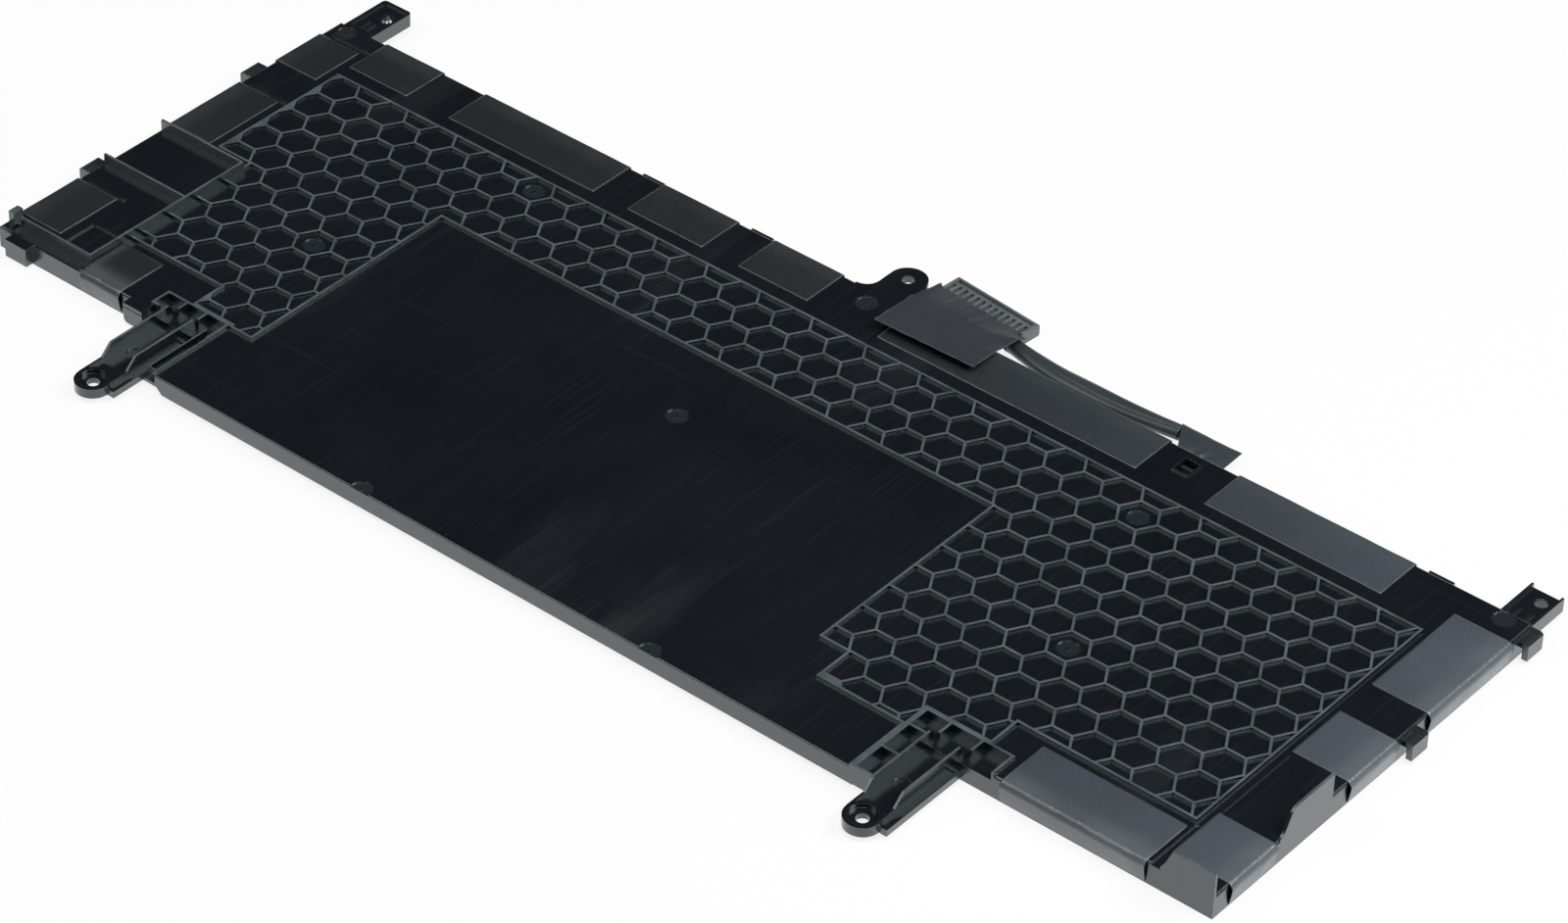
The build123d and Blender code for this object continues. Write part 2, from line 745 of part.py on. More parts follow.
def hooks():
    """Hooks on the short sides: a plate that stands out and a lip that turns down."""
    pieces = []
    for side, places in ((-1, left_hook_from_back), (1, right_hook_from_back)):
        wall = side * body_length / 2
        tip = wall + side * hook_reach
        root = wall - side * side_wall / 2
        section = [(root, hook_top - hook_plate), (root, hook_top),
                   (tip - side * hook_plate / 3, hook_top), (tip, hook_top - hook_plate / 3),
                   (tip, hook_lip_bottom), (tip - side * hook_lip, hook_lip_bottom),
                   (tip - side * hook_lip, hook_top - hook_plate)]
        for from_back in places:
            y = back - from_back
            hook = along(section, (y - hook_length, y))
            for k in (1, 3):
                x = wall + side * (k * hook_reach / 4)
                hook -= slab((x - hook_groove / 2, x + hook_groove / 2), (y - hook_length, y - end_wall),
                             (hook_top - hook_groove_depth, hook_top + 1))
            pieces.append(hook)
    return pieces


def small_stops():
    """Catch on the front wall at the left corner, and three stops on the back wall."""
    x = left + front_catch_from_left
    catch = slab((x, x + front_catch_width), (front - front_catch_reach, front + end_wall / 2),
                 front_catch_height)
    stops = [catch]
    for x in [left + d for d in stop_from_left] + [right - stop_from_right - stop_width]:
        stops.append(slab((x, x + stop_width), (back - end_wall / 2, back + stop_reach),
                          (plate_under - plate_thickness, plate_level - edge_round / 2)))
    return stops


def window():
    """Rim and opening of the square window over the board bay."""
    x = right - window_from_right - window_width
    y = back - window_from_back
    rim = slab((x - window_rim, x + window_width + window_rim),
               (y - window_depth - window_rim, y + window_rim),
               (plate_level - plate_thickness / 2, plate_level + window_rim_height))
    opening = slab((x, x + window_width), (y - window_depth, y), (plate_under - 1, rib_level))
    return rim, opening


def mark_cut(x, y, radius, bottom):
    """A moulding mark's cut, as an even outline of many sides, from its bottom up."""
    outline = RegularPolygon(radius, mark_sides)
    return Pos(x, y, bottom) * extrude(outline, amount=rib_level - bottom)


def round_marks():
    """Shallow marks, all but round, with a small nub left at the middle of each."""
    places = [cell_middle(*cell) for cell in mark_cells]
    places += [(left + x, back - y) for x, y in left_mark_places]
    places.append((right - right_mark_place[0], back - right_mark_place[1]))
    places += [(block_left + x, block_front + mark_radius / 4) for x in front_mark_from_block]
    bottom = plate_level - mark_depth
    nub = extrude(RegularPolygon(mark_nub, mark_sides // 4), amount=mark_depth)
    return [mark_cut(x, y, mark_radius, bottom) - Pos(x, y, bottom) * nub for x, y in places]


def tray():
    """The whole moulding."""
    body = tray_shell()
    for cut in under_cavities():
        body -= cut
    body += block_ribs() + board_stands()
    for cut in tab_notches():
        body -= cut
    body -= corner_ledge()
    for x in ((left_hole_x - left_box_before, left_hole_x + left_box_after),
              (block_right, right_hole_x + right_box_after)):
        body -= slab((x[0] + arm_wall, x[1] - arm_wall),
                     (front - 1, front + arm_box_back - arm_wall), (pocket_floor, rib_level))
    body -= slab([left_hole_x + s for s in left_slot_from_hole], (front - 1, front + left_slot_back),
                 (channel_floor, rib_level))
    body += [honeycomb(), left_arm(), right_arm()]
    body += corner_fins() + standing_flanges() + [ledge_bead(), side_block(), rear_ear()]
    body += [left_tab(), right_tab()] + hooks() + small_stops()
    rim, opening = window()
    body = body + rim - opening
    for cut in right_ledge_lines() + round_marks():
        body -= cut
    body -= harness_exit()
    return body


def harness_exit():
    """Notch in the back wall where the harness leaves the board bay."""
    x = right - wrap_from_right
    return slab((x + end_wall, x + wrap_width - end_wall), (back - 2 * end_wall, back + 1),
                (film_thickness, board_under))


def pouch_cell(x):
    """One pouch cell: a flat body with soft long edges and the sealed lip its tabs leave by."""
    y = (bay_front + cell_clearance, bay_front + cell_clearance + cell_length)
    z = (film_thickness + pad_thickness, plate_under - pad_thickness)
    body = slab((x - cell_width / 2, x + cell_width / 2), y, z)
    body = chamfer(body.edges().filter_by(Axis.Y), (z[1] - z[0]) / 4)
    seal_z = board_under - tab_thickness / 2
    lip = slab((x - cell_width / 2 + cell_seal_inset, x + cell_width / 2 - cell_seal_inset),
               (y[1] - cell_clearance, y[1] + cell_seal_length),
               (seal_z - cell_seal_thickness / 2, seal_z + cell_seal_thickness / 2))
    return body + lip


def cell_tab_pair(x):
    """Two nickel tabs from one cell's lip to the board."""
    y_lip = bay_front + cell_clearance + cell_length + cell_seal_length
    y_end = board_front() + tab_landing
    tabs = []
    for side in (-1, 1):
        middle = x + side * tab_spacing / 2
        tabs.append(slab((middle - tab_width / 2, middle + tab_width / 2), (y_lip, y_end),
                         (board_under - tab_thickness, board_under)))
    return tabs


def board_front():
    """Front edge of the board, which is centred in its bay."""
    return (board_bay_front + board_bay_back - board_width) / 2


def board():
    """Protection board with a notch in each end."""
    y = (board_front(), board_front() + board_width)
    shape = slab((-board_length / 2, board_length / 2), y, (board_under, board_top))
    middle = (y[0] + y[1]) / 2
    for side in (-1, 1):
        x = side * board_length / 2
        shape -= slab((x - board_notch / 2, x + board_notch / 2),
                      (middle - board_notch / 2, middle + board_notch / 2), (0, plate_level))
    return shape


def on_board(x, y, size):
    """A part that stands on the board's upper face, between the stands."""
    return slab((x - size[0] / 2, x + size[0] / 2), (y - size[1] / 2, y + size[1] / 2),
                (board_top, board_top + size[2]))


def board_parts():
    """Parts on the board, placed about the middles of the gaps between its stands."""
    pitch = (board_length - 3 * stand_width) / (stand_count - 1)
    gaps = spread(stand_count - 1, pitch)
    y = board_front() + board_width / 2
    shift = 0.7 * switch_chip[0]
    switches = [on_board(gaps[1] + s * shift, y, switch_chip) for s in (-1, 1)]
    gauge = on_board(gaps[2], y, gauge_chip)
    fuse = on_board(gaps[3] - fuse_body[0], y, fuse_body)
    shunt = on_board(gaps[3] + shunt_body[0], y, shunt_body)
    step = 2.4 * small_part[0]
    first = gaps[0] - (small_part_count / 2 - 1) * step / 2
    small = [on_board(first + (i // 2) * step, y + (i % 2 - 0.5) * board_width / 3, small_part)
             for i in range(small_part_count)]
    return {"switch_chips": switches, "gauge_chip": [gauge], "cell_fuse": [fuse],
            "current_shunt": [shunt], "board_small_parts": small}


def series_links():
    """Nickel links welded under neighbouring tabs, one between each pair of cells."""
    z_top = board_under - tab_thickness
    y_end = board_front() + tab_landing
    links = []
    xs = spread(cell_count, bay_width + bay_rib)
    for a, b in zip(xs, xs[1:]):
        links.append(slab((a + tab_spacing / 2 - tab_width / 2, b - tab_spacing / 2 + tab_width / 2),
                          (y_end - link_width, y_end), (z_top - link_thickness, z_top)))
    return links


def temperature_sensors():
    """Two bead sensors that lie on the cells' lips, against the wall."""
    z = board_under - tab_thickness / 2 - cell_seal_thickness / 2
    y = bay_front + cell_clearance + cell_length + cell_seal_length / 2
    xs = spread(cell_count, bay_width + bay_rib)
    return [slab((x - sensor_size[0] / 2, x + sensor_size[0] / 2),
                 (y - sensor_size[1] / 2, y + sensor_size[1] / 2), (z - sensor_size[2], z))
            for x in (xs[1], xs[-2])]


def tab_insulation():
    """Thin strip laid under the tabs, between the wall and the links."""
    z_top = board_under - tab_thickness
    y = board_front() + tab_landing - link_width
    return slab((left + side_wall + cell_clearance, right - side_wall - cell_clearance),
                (board_bay_front + board_gap / 2, y - board_gap / 2),
                (z_top - insulation_thickness, z_top))


def cell_pads():
    """Adhesive pads between each cell and the plate."""
    y = bay_front + cell_clearance + cell_length / 2
    z = (plate_under - pad_thickness, plate_under)
    return [slab((x - pad_width / 2, x + pad_width / 2), (y - pad_length / 2, y + pad_length / 2), z)
            for x in spread(cell_count, bay_width + bay_rib)]


def bottom_film():
    """Black film that closes the tray from below."""
    x = (left + side_wall + film_clearance, right - side_wall - film_clearance)
    y = (front + end_wall + film_clearance, board_bay_back - film_clearance)
    return slab(x, y, (0, film_thickness))


def folded_tape(run, drop):
    """Closed section of a tape that lies flat on the ledge, turns over the edge and clings."""
    top = plate_level + tape_gap
    high = top + tape_thickness
    outer = tape_gap + tape_thickness
    slope = tape_thickness * math.tan(math.pi / 8)
    points = [(-run, top), (-run, high), (outer - tape_bend, high), (outer, high - tape_bend),
              (outer, top - drop), (tape_gap, top - drop), (tape_gap, high - tape_bend - slope),
              (outer - tape_bend - slope, top)]
    return make_face(Polyline(*points, close=True))


def swelled_tape(run):
    """Closed section of a tape that stands off the wall between the edge and its foot."""
    top = plate_level + tape_gap
    angle = math.radians(tape_swell_angle)
    sides = []
    for lift in (0, tape_thickness):
        radius = tape_crest + lift
        side = [(-run, top + lift)]
        for k in range(crest_steps + 1):
            turn = angle * k / crest_steps
            side.append((radius * math.sin(turn) - edge_round,
                         top - tape_crest + radius * math.cos(turn)))
        side.append((tape_gap + lift, tape_foot))
        sides.append(side)
    return make_face(Polyline(*(sides[0] + sides[1][::-1]), close=True))


def tape_spans():
    """Where each tape starts and ends along its edge, by side."""
    back_spans = [(left + a, left + b) for a, b in back_tapes_from_left]
    back_spans += [(right - a, right - b) for a, b in back_tapes_from_right]
    left_spans = [(back - b, back - a) for a, b in left_tapes_from_back]
    left_spans.append((front + left_tape_from_front[1], front + left_tape_from_front[0]))
    right_spans = [(back - b, back - a) for a, b in right_tapes_from_back]
    right_spans.append((front + right_tape_from_front[1], front + right_tape_from_front[0]))
    front_spans = [(left + front_tape_from_left[0], left + front_tape_from_left[1]),
                   (right - front_tape_from_right[0], right - front_tape_from_right[1])]
    return {"back": back_spans, "left": left_spans, "right": right_spans, "front": front_spans}


def tapes():
    """Every tape strip by name. Each runs from the ledge over its edge and down the wall."""
    kinds = {
        "back": (folded_tape(back_tape_run, back_tape_drop), (1, 0, 0), (0, 1, 0), (0, back, 0)),
        "left": (folded_tape(left_tape_run, back_tape_drop), (0, 1, 0), (-1, 0, 0), (left, 0, 0)),
        "right": (swelled_tape(right_tape_run), (0, 1, 0), (1, 0, 0), (right, 0, 0)),
        "front": (swelled_tape(front_tape_run), (1, 0, 0), (0, -1, 0), (0, front, 0)),
    }
    spans = tape_spans()
    strips = {}
    for side, (face, run, outward, origin) in kinds.items():
        normal = Vector(*outward).cross(Vector(0, 0, 1))
        flat = Plane(origin=origin, x_dir=outward, z_dir=normal) * face
        for number, (a, b) in enumerate(spans[side], 1):
            piece = extrude(flat, amount=b - a, dir=run)
            strips[f"{side}_tape_{number}"] = Pos(*(Vector(*run) * a)) * piece
    return strips


def harness_wrap():
    """Folded tape round the harness where it leaves the tray."""
    x = right - wrap_from_right
    y = back + 2 * tape_gap + tape_thickness
    points = [(x, y), (x + wrap_width - wrap_skew, y), (x + wrap_width, y + wrap_skew),
              (x + wrap_width, y + wrap_reach), (x + wrap_width / 2, y + wrap_reach),
              (x, y + wrap_reach - wrap_skew / 2)]
    body = plan(points, (cord_rest, wrap_height))
    return chamfer(body.faces().sort_by(Axis.Z)[-1].edges(), wrap_height / 6)


def cord_points():
    """Route of the harness along the table, at the height of its middle."""
    z = cord_rest + cord_diameter / 2
    return [Vector(x, y, z) for x, y in cord_route]


def cord_radii(points):
    """One radius for each inner point: as large as its two runs allow."""
    radii = []
    for a, b, c in zip(points, points[1:], points[2:]):
        turn = math.radians((b - a).get_angle(c - b))
        radii.append(0.45 * min((b - a).length, (c - b).length) / math.tan(turn / 2))
    return radii


def harness_cable():
    """The wrapped bundle of wires, one even tube along its route."""
    points = cord_points()
    radii = cord_radii(points)
    path = FilletPolyline(*points, radius=radii)
    print("harness radii", [round(r, 1) for r in radii], "length", round(path.length, 2))
    start = Plane(origin=points[0], z_dir=(points[1] - points[0]).normalized())
    tube = sweep(start * Circle(cord_diameter / 2), path=path)
    print("harness volume over section times length",
          round(tube.volume / (math.pi * cord_diameter ** 2 / 4 * path.length), 5))
    return tube


def plug_place():
    """Where the connector lies: turned a little from the back edge."""
    return Pos(plug_centre[0], plug_centre[1], 0) * Rot(0, 0, plug_turn)


def slot_places():
    """Middle of each wire slot along the connector."""
    return spread(wire_count, (plug_length - 2 * jaw - slot_width) / (wire_count - 1))


def connector_housing():
    """Connector body with an open slot for each wire and a raised rail along its mating edge."""
    body = slab((-plug_length / 2, plug_length / 2), (-plug_depth / 2, plug_depth / 2),
                (plug_rest, slot_top))
    body = chamfer(body.edges().filter_by(Axis.X).group_by(Axis.Y)[-1], jaw / 3)
    for x in slot_places():
        body -= slab((x - slot_width / 2, x + slot_width / 2), (-plug_depth, -plug_depth / 2 + slot_length),
                     (slot_top - slot_depth, slot_top + 1))
    body -= slab((-plug_length / 2 + jaw, plug_length / 2 - jaw),
                 (-plug_depth / 2 + slot_length + jaw / 2, plug_depth / 2 - jaw),
                 (slot_top - jaw, slot_top + 1))
    return plug_place() * body


def connector_contacts():
    """Metal contact at the closed end of each slot."""
    y = (-plug_depth / 2 + slot_length / 2, -plug_depth / 2 + slot_length)
    z = (slot_top - slot_depth, slot_top - slot_depth + pin_height)
    return [plug_place() * slab((x - pin_width / 2, x + pin_width / 2), y, z) for x in slot_places()]


def strip(points, width):
    """Plan outline of a bent strip of even width, mitred at its corners."""
    sides = []
    for sign in (1, -1):
        edge = []
        for k, (x, y) in enumerate(points):
            before = Vector(x, y) - Vector(*points[k - 1]) if k else None
            after = Vector(*points[k + 1]) - Vector(x, y) if k + 1 < len(points) else None
            runs = [run.normalized() for run in (before, after) if run is not None]
            middle = (runs[0] + runs[-1]).normalized()
            reach = sign * width / 2 / middle.dot(runs[0])
            edge.append((x - middle.Y * reach, y + middle.X * reach))
        sides.append(edge)
    return sides[0] + sides[1][::-1]


def connector_wires():
    """Wire ends that fan out of the bundle, each along its own lane and into its own slot.

    The bundle's layers are stacked, and the wire that turns first lies furthest back, so
    none crosses another. Each dips from its layer to the slot's floor in its last stretch.
    """
    end = cord_points()[-1]
    z_slot = slot_top - slot_depth
    place = plug_place()
    lean = math.tan(math.radians(plug_turn))
    rows = wire_count // wire_layers
    wires = []
    for number, x in enumerate(sorted(slot_places(), reverse=True)):
        row, layer = divmod(number, wire_layers)
        lane = end.Y + (rows / 2 - row) * wire_pitch
        z = cord_rest + wire_gap + layer * (wire_size + wire_gap)
        turn = (place * Pos(x, -plug_depth / 2 - wire_dip, 0)).position
        corner = (turn.X - (turn.Y - lane) * -lean, lane)
        flat = plan(strip([(end.X - wire_gap, lane), corner, (turn.X, turn.Y)], wire_size),
                    (z, z + wire_size))
        y = (-plug_depth / 2 - wire_dip, -plug_depth / 2, -plug_depth / 2 + slot_length / 2 - wire_gap / 4)
        low = [(y[0], z), (y[1], z_slot), (y[2], z_slot)]
        high = [(a, b + wire_size) for a, b in low[::-1]]
        dip = place * across(low + high, (x - wire_size / 2, x + wire_size / 2))
        wires.append(flat + dip)
    return wires


def cover_flap():
    """Stiff tape flap that starts on the connector and stands out over the tray."""
    edge = plug_place() * Pos(0, -plug_depth / 2 + jaw / 2, 0)
    y_back = edge.position.Y
    z_back = slot_top + tape_gap
    t = flap_thickness
    section = [(flap_front[0], flap_front[1]), (flap_crest[0], flap_crest[1]), (y_back - 2 * jaw, z_back),
               (y_back, z_back), (y_back, z_back + t), (y_back - 2 * jaw, z_back + t),
               (flap_crest[0], flap_crest[1] + t), (flap_front[0], flap_front[1] + t)]
    return across(section, (flap_left, flap_left + flap_width))


def group(shapes):
    """Several separate solids in one node."""
    return Compound(children=list(shapes))


def build():
    """Every named piece of the battery."""
    nodes = {"tray": tray()}
    for number, x in enumerate(spread(cell_count, bay_width + bay_rib), 1):
        nodes[f"cell_{number}"] = pouch_cell(x)
        nodes[f"cell_{number}_tabs"] = group(cell_tab_pair(x))
    nodes["protection_board"] = board()
    for name, shapes in board_parts().items():
        nodes[name] = group(shapes) if len(shapes) > 1 else shapes[0]
    nodes["series_links"] = group(series_links())
    nodes["temperature_sensors"] = group(temperature_sensors())
    nodes["tab_insulation"] = tab_insulation()
    nodes["cell_pads"] = group(cell_pads())
    nodes["bottom_film"] = bottom_film()
    nodes.update(tapes())
    nodes["harness_wrap"] = harness_wrap()
    nodes["harness_cable"] = harness_cable()
    nodes["connector_housing"] = connector_housing()
    nodes["connector_contacts"] = group(connector_contacts())
    nodes["connector_wires"] = group(connector_wires())
    nodes["connector_flap"] = cover_flap()
    return nodes


os.makedirs("parts", exist_ok=True)
for name, shape in build().items():
    export_step(shape, f"parts/{name}.step")
print("body", round(body_length, 2), "x", round(body_depth, 2), "back edge", round(back, 3))
print("arm holes", round(left_hole_x, 3), round(right_hole_x, 3), round(arm_hole_y, 3),
      "spacing", round(arm_spacing, 3))
print("rear holes", round(ear_from_middle, 3), round(right - right_tab_hole_x, 3), round(rear_hole_y, 3))
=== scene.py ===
# %% [markdown]
# # A flat laptop battery
# The battery is a ribbed black tray with thin tape folded over its edges, a short taped
# harness and a small plug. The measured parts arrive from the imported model, and this lesson
# gives them their finish, then remakes the soft pieces: tapes, harness, wrap, wires and flap.

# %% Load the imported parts
import json
import math
import bpy
import numpy as np
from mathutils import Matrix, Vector


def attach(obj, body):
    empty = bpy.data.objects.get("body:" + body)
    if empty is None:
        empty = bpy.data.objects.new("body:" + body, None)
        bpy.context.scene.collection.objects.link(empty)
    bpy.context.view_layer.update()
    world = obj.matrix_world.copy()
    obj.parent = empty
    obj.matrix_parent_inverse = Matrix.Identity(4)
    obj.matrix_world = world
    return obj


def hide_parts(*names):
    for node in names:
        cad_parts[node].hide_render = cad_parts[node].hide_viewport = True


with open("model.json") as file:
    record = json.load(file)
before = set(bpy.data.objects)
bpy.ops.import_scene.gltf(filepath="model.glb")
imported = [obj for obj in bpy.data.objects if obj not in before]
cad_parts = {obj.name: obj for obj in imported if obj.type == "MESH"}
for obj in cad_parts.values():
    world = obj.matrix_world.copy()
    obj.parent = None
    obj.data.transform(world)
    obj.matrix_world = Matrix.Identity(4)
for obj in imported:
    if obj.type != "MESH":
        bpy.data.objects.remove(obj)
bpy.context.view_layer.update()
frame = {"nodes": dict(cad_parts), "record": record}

MM = 0.001

# %% [markdown]
# ## The camera
# The camera's place was solved from the honeycomb, whose hexagons are all one size. A long
# lens keeps the edges nearly parallel, so it stands about a metre away.

# %% Place the camera
CAMERA_PLACE = (0.499609, -0.598849, 0.605368)
CAMERA_TURN = (52.10936, -1.26613, 39.87062)
LENS_MM = 127.1097
LENS_SHIFT = -0.000625


def add_camera():
    """One camera at the solved place; its turn is in degrees about X, then Y, then Z."""
    lens = bpy.data.cameras.new("view_camera")
    lens.lens = LENS_MM
    lens.sensor_width = 36.0
    lens.shift_y = LENS_SHIFT
    lens.clip_start = 0.01
    holder = bpy.data.objects.new("view_camera", lens)
    holder.location = CAMERA_PLACE
    holder.rotation_euler = [math.radians(a) for a in CAMERA_TURN]
    bpy.context.collection.objects.link(holder)
    bpy.context.scene.camera = holder
    return holder


camera = add_camera()
print("camera", tuple(round(v, 3) for v in camera.location))

# %% [markdown]
# ## Finishes
# Every surface here is thin plastic, film or metal whose finish shows at close range: grain,
# scratches, dust, and painted highlights on edges. Such detail could be painted as pictures, but
# procedural nodes stay sharp at any distance and need no unwrapping. Each finish reads the
# object's own coordinates in metres, so a noise scale of 3000 gives grain about a third of a
# millimetre across. The helpers below each add one small piece of a node tree.

# %% Node helpers
def new_finish(name):
    """An empty material with its shader and its node tree."""
    finish = bpy.data.materials.new(name)
    finish.use_nodes = True
    tree = finish.node_tree
    return finish, tree, tree.nodes["Principled BSDF"]


def node(tree, kind, **settings):
    """A node with its properties set, and its inputs where a name matches a socket."""
    made = tree.nodes.new(kind)
    for key, value in settings.items():
        if key in made.inputs:
            made.inputs[key].default_value = value
        else:
            setattr(made, key, value)
    return made


def object_coordinates(tree, stretch=(1, 1, 1), turn=0.0):
    """Object coordinates, stretched along each axis and turned about Z."""
    place = node(tree, "ShaderNodeTexCoord")
    mapping = node(tree, "ShaderNodeMapping")
    mapping.inputs["Scale"].default_value = stretch
    mapping.inputs["Rotation"].default_value = (0, 0, turn)
    tree.links.new(place.outputs["Object"], mapping.inputs["Vector"])
    return mapping.outputs["Vector"]


def noise(tree, vector, scale, detail=2.0, roughness=0.5):
    """A noise texture's value."""
    made = node(tree, "ShaderNodeTexNoise", Scale=scale, Detail=detail, Roughness=roughness)
    tree.links.new(vector, made.inputs["Vector"])
    return made.outputs["Fac"]


def between(tree, value, low, high, out_low=0.0, out_high=1.0):
    """A value's range from low to high, clamped and spread over the two outputs."""
    made = node(tree, "ShaderNodeMapRange")
    made.inputs["From Min"].default_value = low
    made.inputs["From Max"].default_value = high
    made.inputs["To Min"].default_value = out_low
    made.inputs["To Max"].default_value = out_high
    tree.links.new(value, made.inputs["Value"])
    return made.outputs["Result"]


def mix_colour(tree, amount, first, second):
    """Two colours mixed by an amount; each may be a colour or a socket."""
    made = node(tree, "ShaderNodeMix", data_type="RGBA")
    sockets = {"Factor": amount, "A": first, "B": second}
    for socket in made.inputs:
        value = sockets.get(socket.name)
        if value is None or socket.type not in ("RGBA", "VALUE"):
            continue
        if socket.type == "VALUE" and socket.name != "Factor":
            continue
        if isinstance(value, bpy.types.NodeSocket):
            tree.links.new(value, socket)
        elif socket.type == "RGBA":
            socket.default_value = (*value, 1.0)
        else:
            socket.default_value = value
    return next(s for s in made.outputs if s.type == "RGBA")


def combine(tree, operation, first, second):
    """A math node on two sockets or numbers."""
    made = node(tree, "ShaderNodeMath", operation=operation)
    for socket, value in zip(made.inputs, (first, second)):
        if isinstance(value, bpy.types.NodeSocket):
            tree.links.new(value, socket)
        else:
            socket.default_value = value
    return made.outputs[0]


def bump(tree, shader, height, distance, strength=1.0, edge=0.0):
    """Bump on the shader; an edge radius rounds the mesh's sharp edges in the light."""
    made = node(tree, "ShaderNodeBump", Strength=strength, Distance=distance)
    tree.links.new(height, made.inputs["Height"])
    if edge:
        rounded = node(tree, "ShaderNodeBevel", samples=4)
        rounded.inputs["Radius"].default_value = edge
        tree.links.new(rounded.outputs[0], made.inputs["Normal"])
    tree.links.new(made.outputs[0], shader.inputs["Normal"])


print("noise and colour helpers ready")

# %% [markdown]
# ### Masks
# Painted highlights and marks sit in certain places: on tops, on edges, on high or low ground. A
# mask is a value from 0 to 1 that marks such a place, worked out from the face's direction, its
# height, or how far a bevelled normal leaves the plain one. It then decides how much of a paler
# colour is mixed in.

# %% Masks
def facing_up(tree, low, high):
    """1 where a face looks up and 0 where it stands upright, by the Z of its own normal."""
    place = node(tree, "ShaderNodeTexCoord")
    split = node(tree, "ShaderNodeSeparateXYZ")
    tree.links.new(place.outputs["Normal"], split.inputs[0])
    return between(tree, split.outputs["Z"], low, high)


def above(tree, low, high):
    """0 below one height and 1 above the other, by the object's own Z in metres.

    Given the greater height first, it is 1 below and 0 above.
    """
    place = node(tree, "ShaderNodeTexCoord")
    split = node(tree, "ShaderNodeSeparateXYZ")
    tree.links.new(place.outputs["Object"], split.inputs[0])
    return between(tree, split.outputs["Z"], low, high)


def sharp_edges(tree, radius):
    """1 on a sharp edge and 0 a radius away: how far the bevelled normal leaves the plain one."""
    rounded = node(tree, "ShaderNodeBevel", samples=6)
    rounded.inputs["Radius"].default_value = radius
    plain = node(tree, "ShaderNodeNewGeometry")
    likeness = node(tree, "ShaderNodeVectorMath", operation="DOT_PRODUCT")
    tree.links.new(rounded.outputs[0], likeness.inputs[0])
    tree.links.new(plain.outputs["Normal"], likeness.inputs[1])
    return between(tree, likeness.outputs["Value"], 0.90, 0.995, 1.0, 0.0)


def dust_specks(tree, vector, pitch, size, share):
    """Small round specks: one per cell of a grid of cells, kept in only a share of them."""
    cells = node(tree, "ShaderNodeTexVoronoi", Scale=1.0 / pitch, Randomness=1.0)
    tree.links.new(vector, cells.inputs["Vector"])
    near = between(tree, cells.outputs["Distance"], size * 0.6, size, 1.0, 0.0)
    split = node(tree, "ShaderNodeSeparateColor")
    tree.links.new(cells.outputs["Color"], split.inputs[0])
    kept = between(tree, split.outputs[0], share * 0.98, share, 1.0, 0.0)
    return combine(tree, "MULTIPLY", near, kept)


print("masks ready")

# %% [markdown]
# ### The tray's plastic
# The tray is moulded in black plastic with a blue cast and a gloss. Years in a laptop left faint
# long scratches, wipe marks and a little dust, and its rib tops and edges carry painted
# highlights.
# One base colour near black takes each mark as a thin paler layer, from the broadest to the
# smallest. A strong clear coat lets the upright walls mirror the pale floor, as in the picture.

# %% Finish of the moulded tray
PLASTIC_TONES = ((0.0035, 0.0052, 0.0082), (0.0056, 0.0078, 0.0112))
WIPE_TONE = (0.05, 0.056, 0.062)
# Painted highlight along sharp edges, standing in for light caught on them; also the paler tone of
# the sunk marks.
EDGE_HIGHLIGHT_AND_MARK_TONE = (0.066, 0.078, 0.086)
# Painted highlight on the rib tops, standing in for light caught by their rounded crowns.
RIB_TOP_HIGHLIGHT_TONE = (0.125, 0.145, 0.160)
PLASTIC_DUST_TONE = (0.34, 0.36, 0.38)
COAT_TINT = (0.93, 0.99, 1.0, 1.0)
RIB_TOP_HEIGHTS = (0.0051, 0.0052)
FREE_RIB_HEIGHTS = (0.0049, 0.0052)
BELOW_PLATE_HEIGHTS = (0.0047, 0.0046)
SUNK_MARK_HEIGHTS = (0.0044, 0.00448)
UPWARD = (0.7, 0.9)
EDGE_WIDTH = 0.00013


def wiped_plastic(tree, plain):
    """The near-black base with scratches and wipe marks, each a noise stretched one way."""
    slow = noise(tree, plain, 24.0, 3.0)
    base = mix_colour(tree, between(tree, slow, 0.35, 0.7), *PLASTIC_TONES)
    streaks = noise(tree, object_coordinates(tree, (16.0, 900.0, 300.0), 0.12), 1.0, 2.0)
    scratch = between(tree, streaks, 0.66, 0.78)
    base = mix_colour(tree, combine(tree, "MULTIPLY", scratch, 0.10), base, WIPE_TONE)
    wiped = noise(tree, object_coordinates(tree, (1500.0, 40.0, 300.0), -0.25), 1.0, 3.0)
    base = mix_colour(tree, between(tree, wiped, 0.55, 0.80, 0.0, 0.15), base, WIPE_TONE)
    smear = noise(tree, object_coordinates(tree, (60.0, 14.0, 60.0), 0.5), 1.0, 4.0)
    smear = between(tree, smear, 0.58, 0.80, 0.0, 0.30)
    return mix_colour(tree, smear, base, WIPE_TONE), scratch, smear


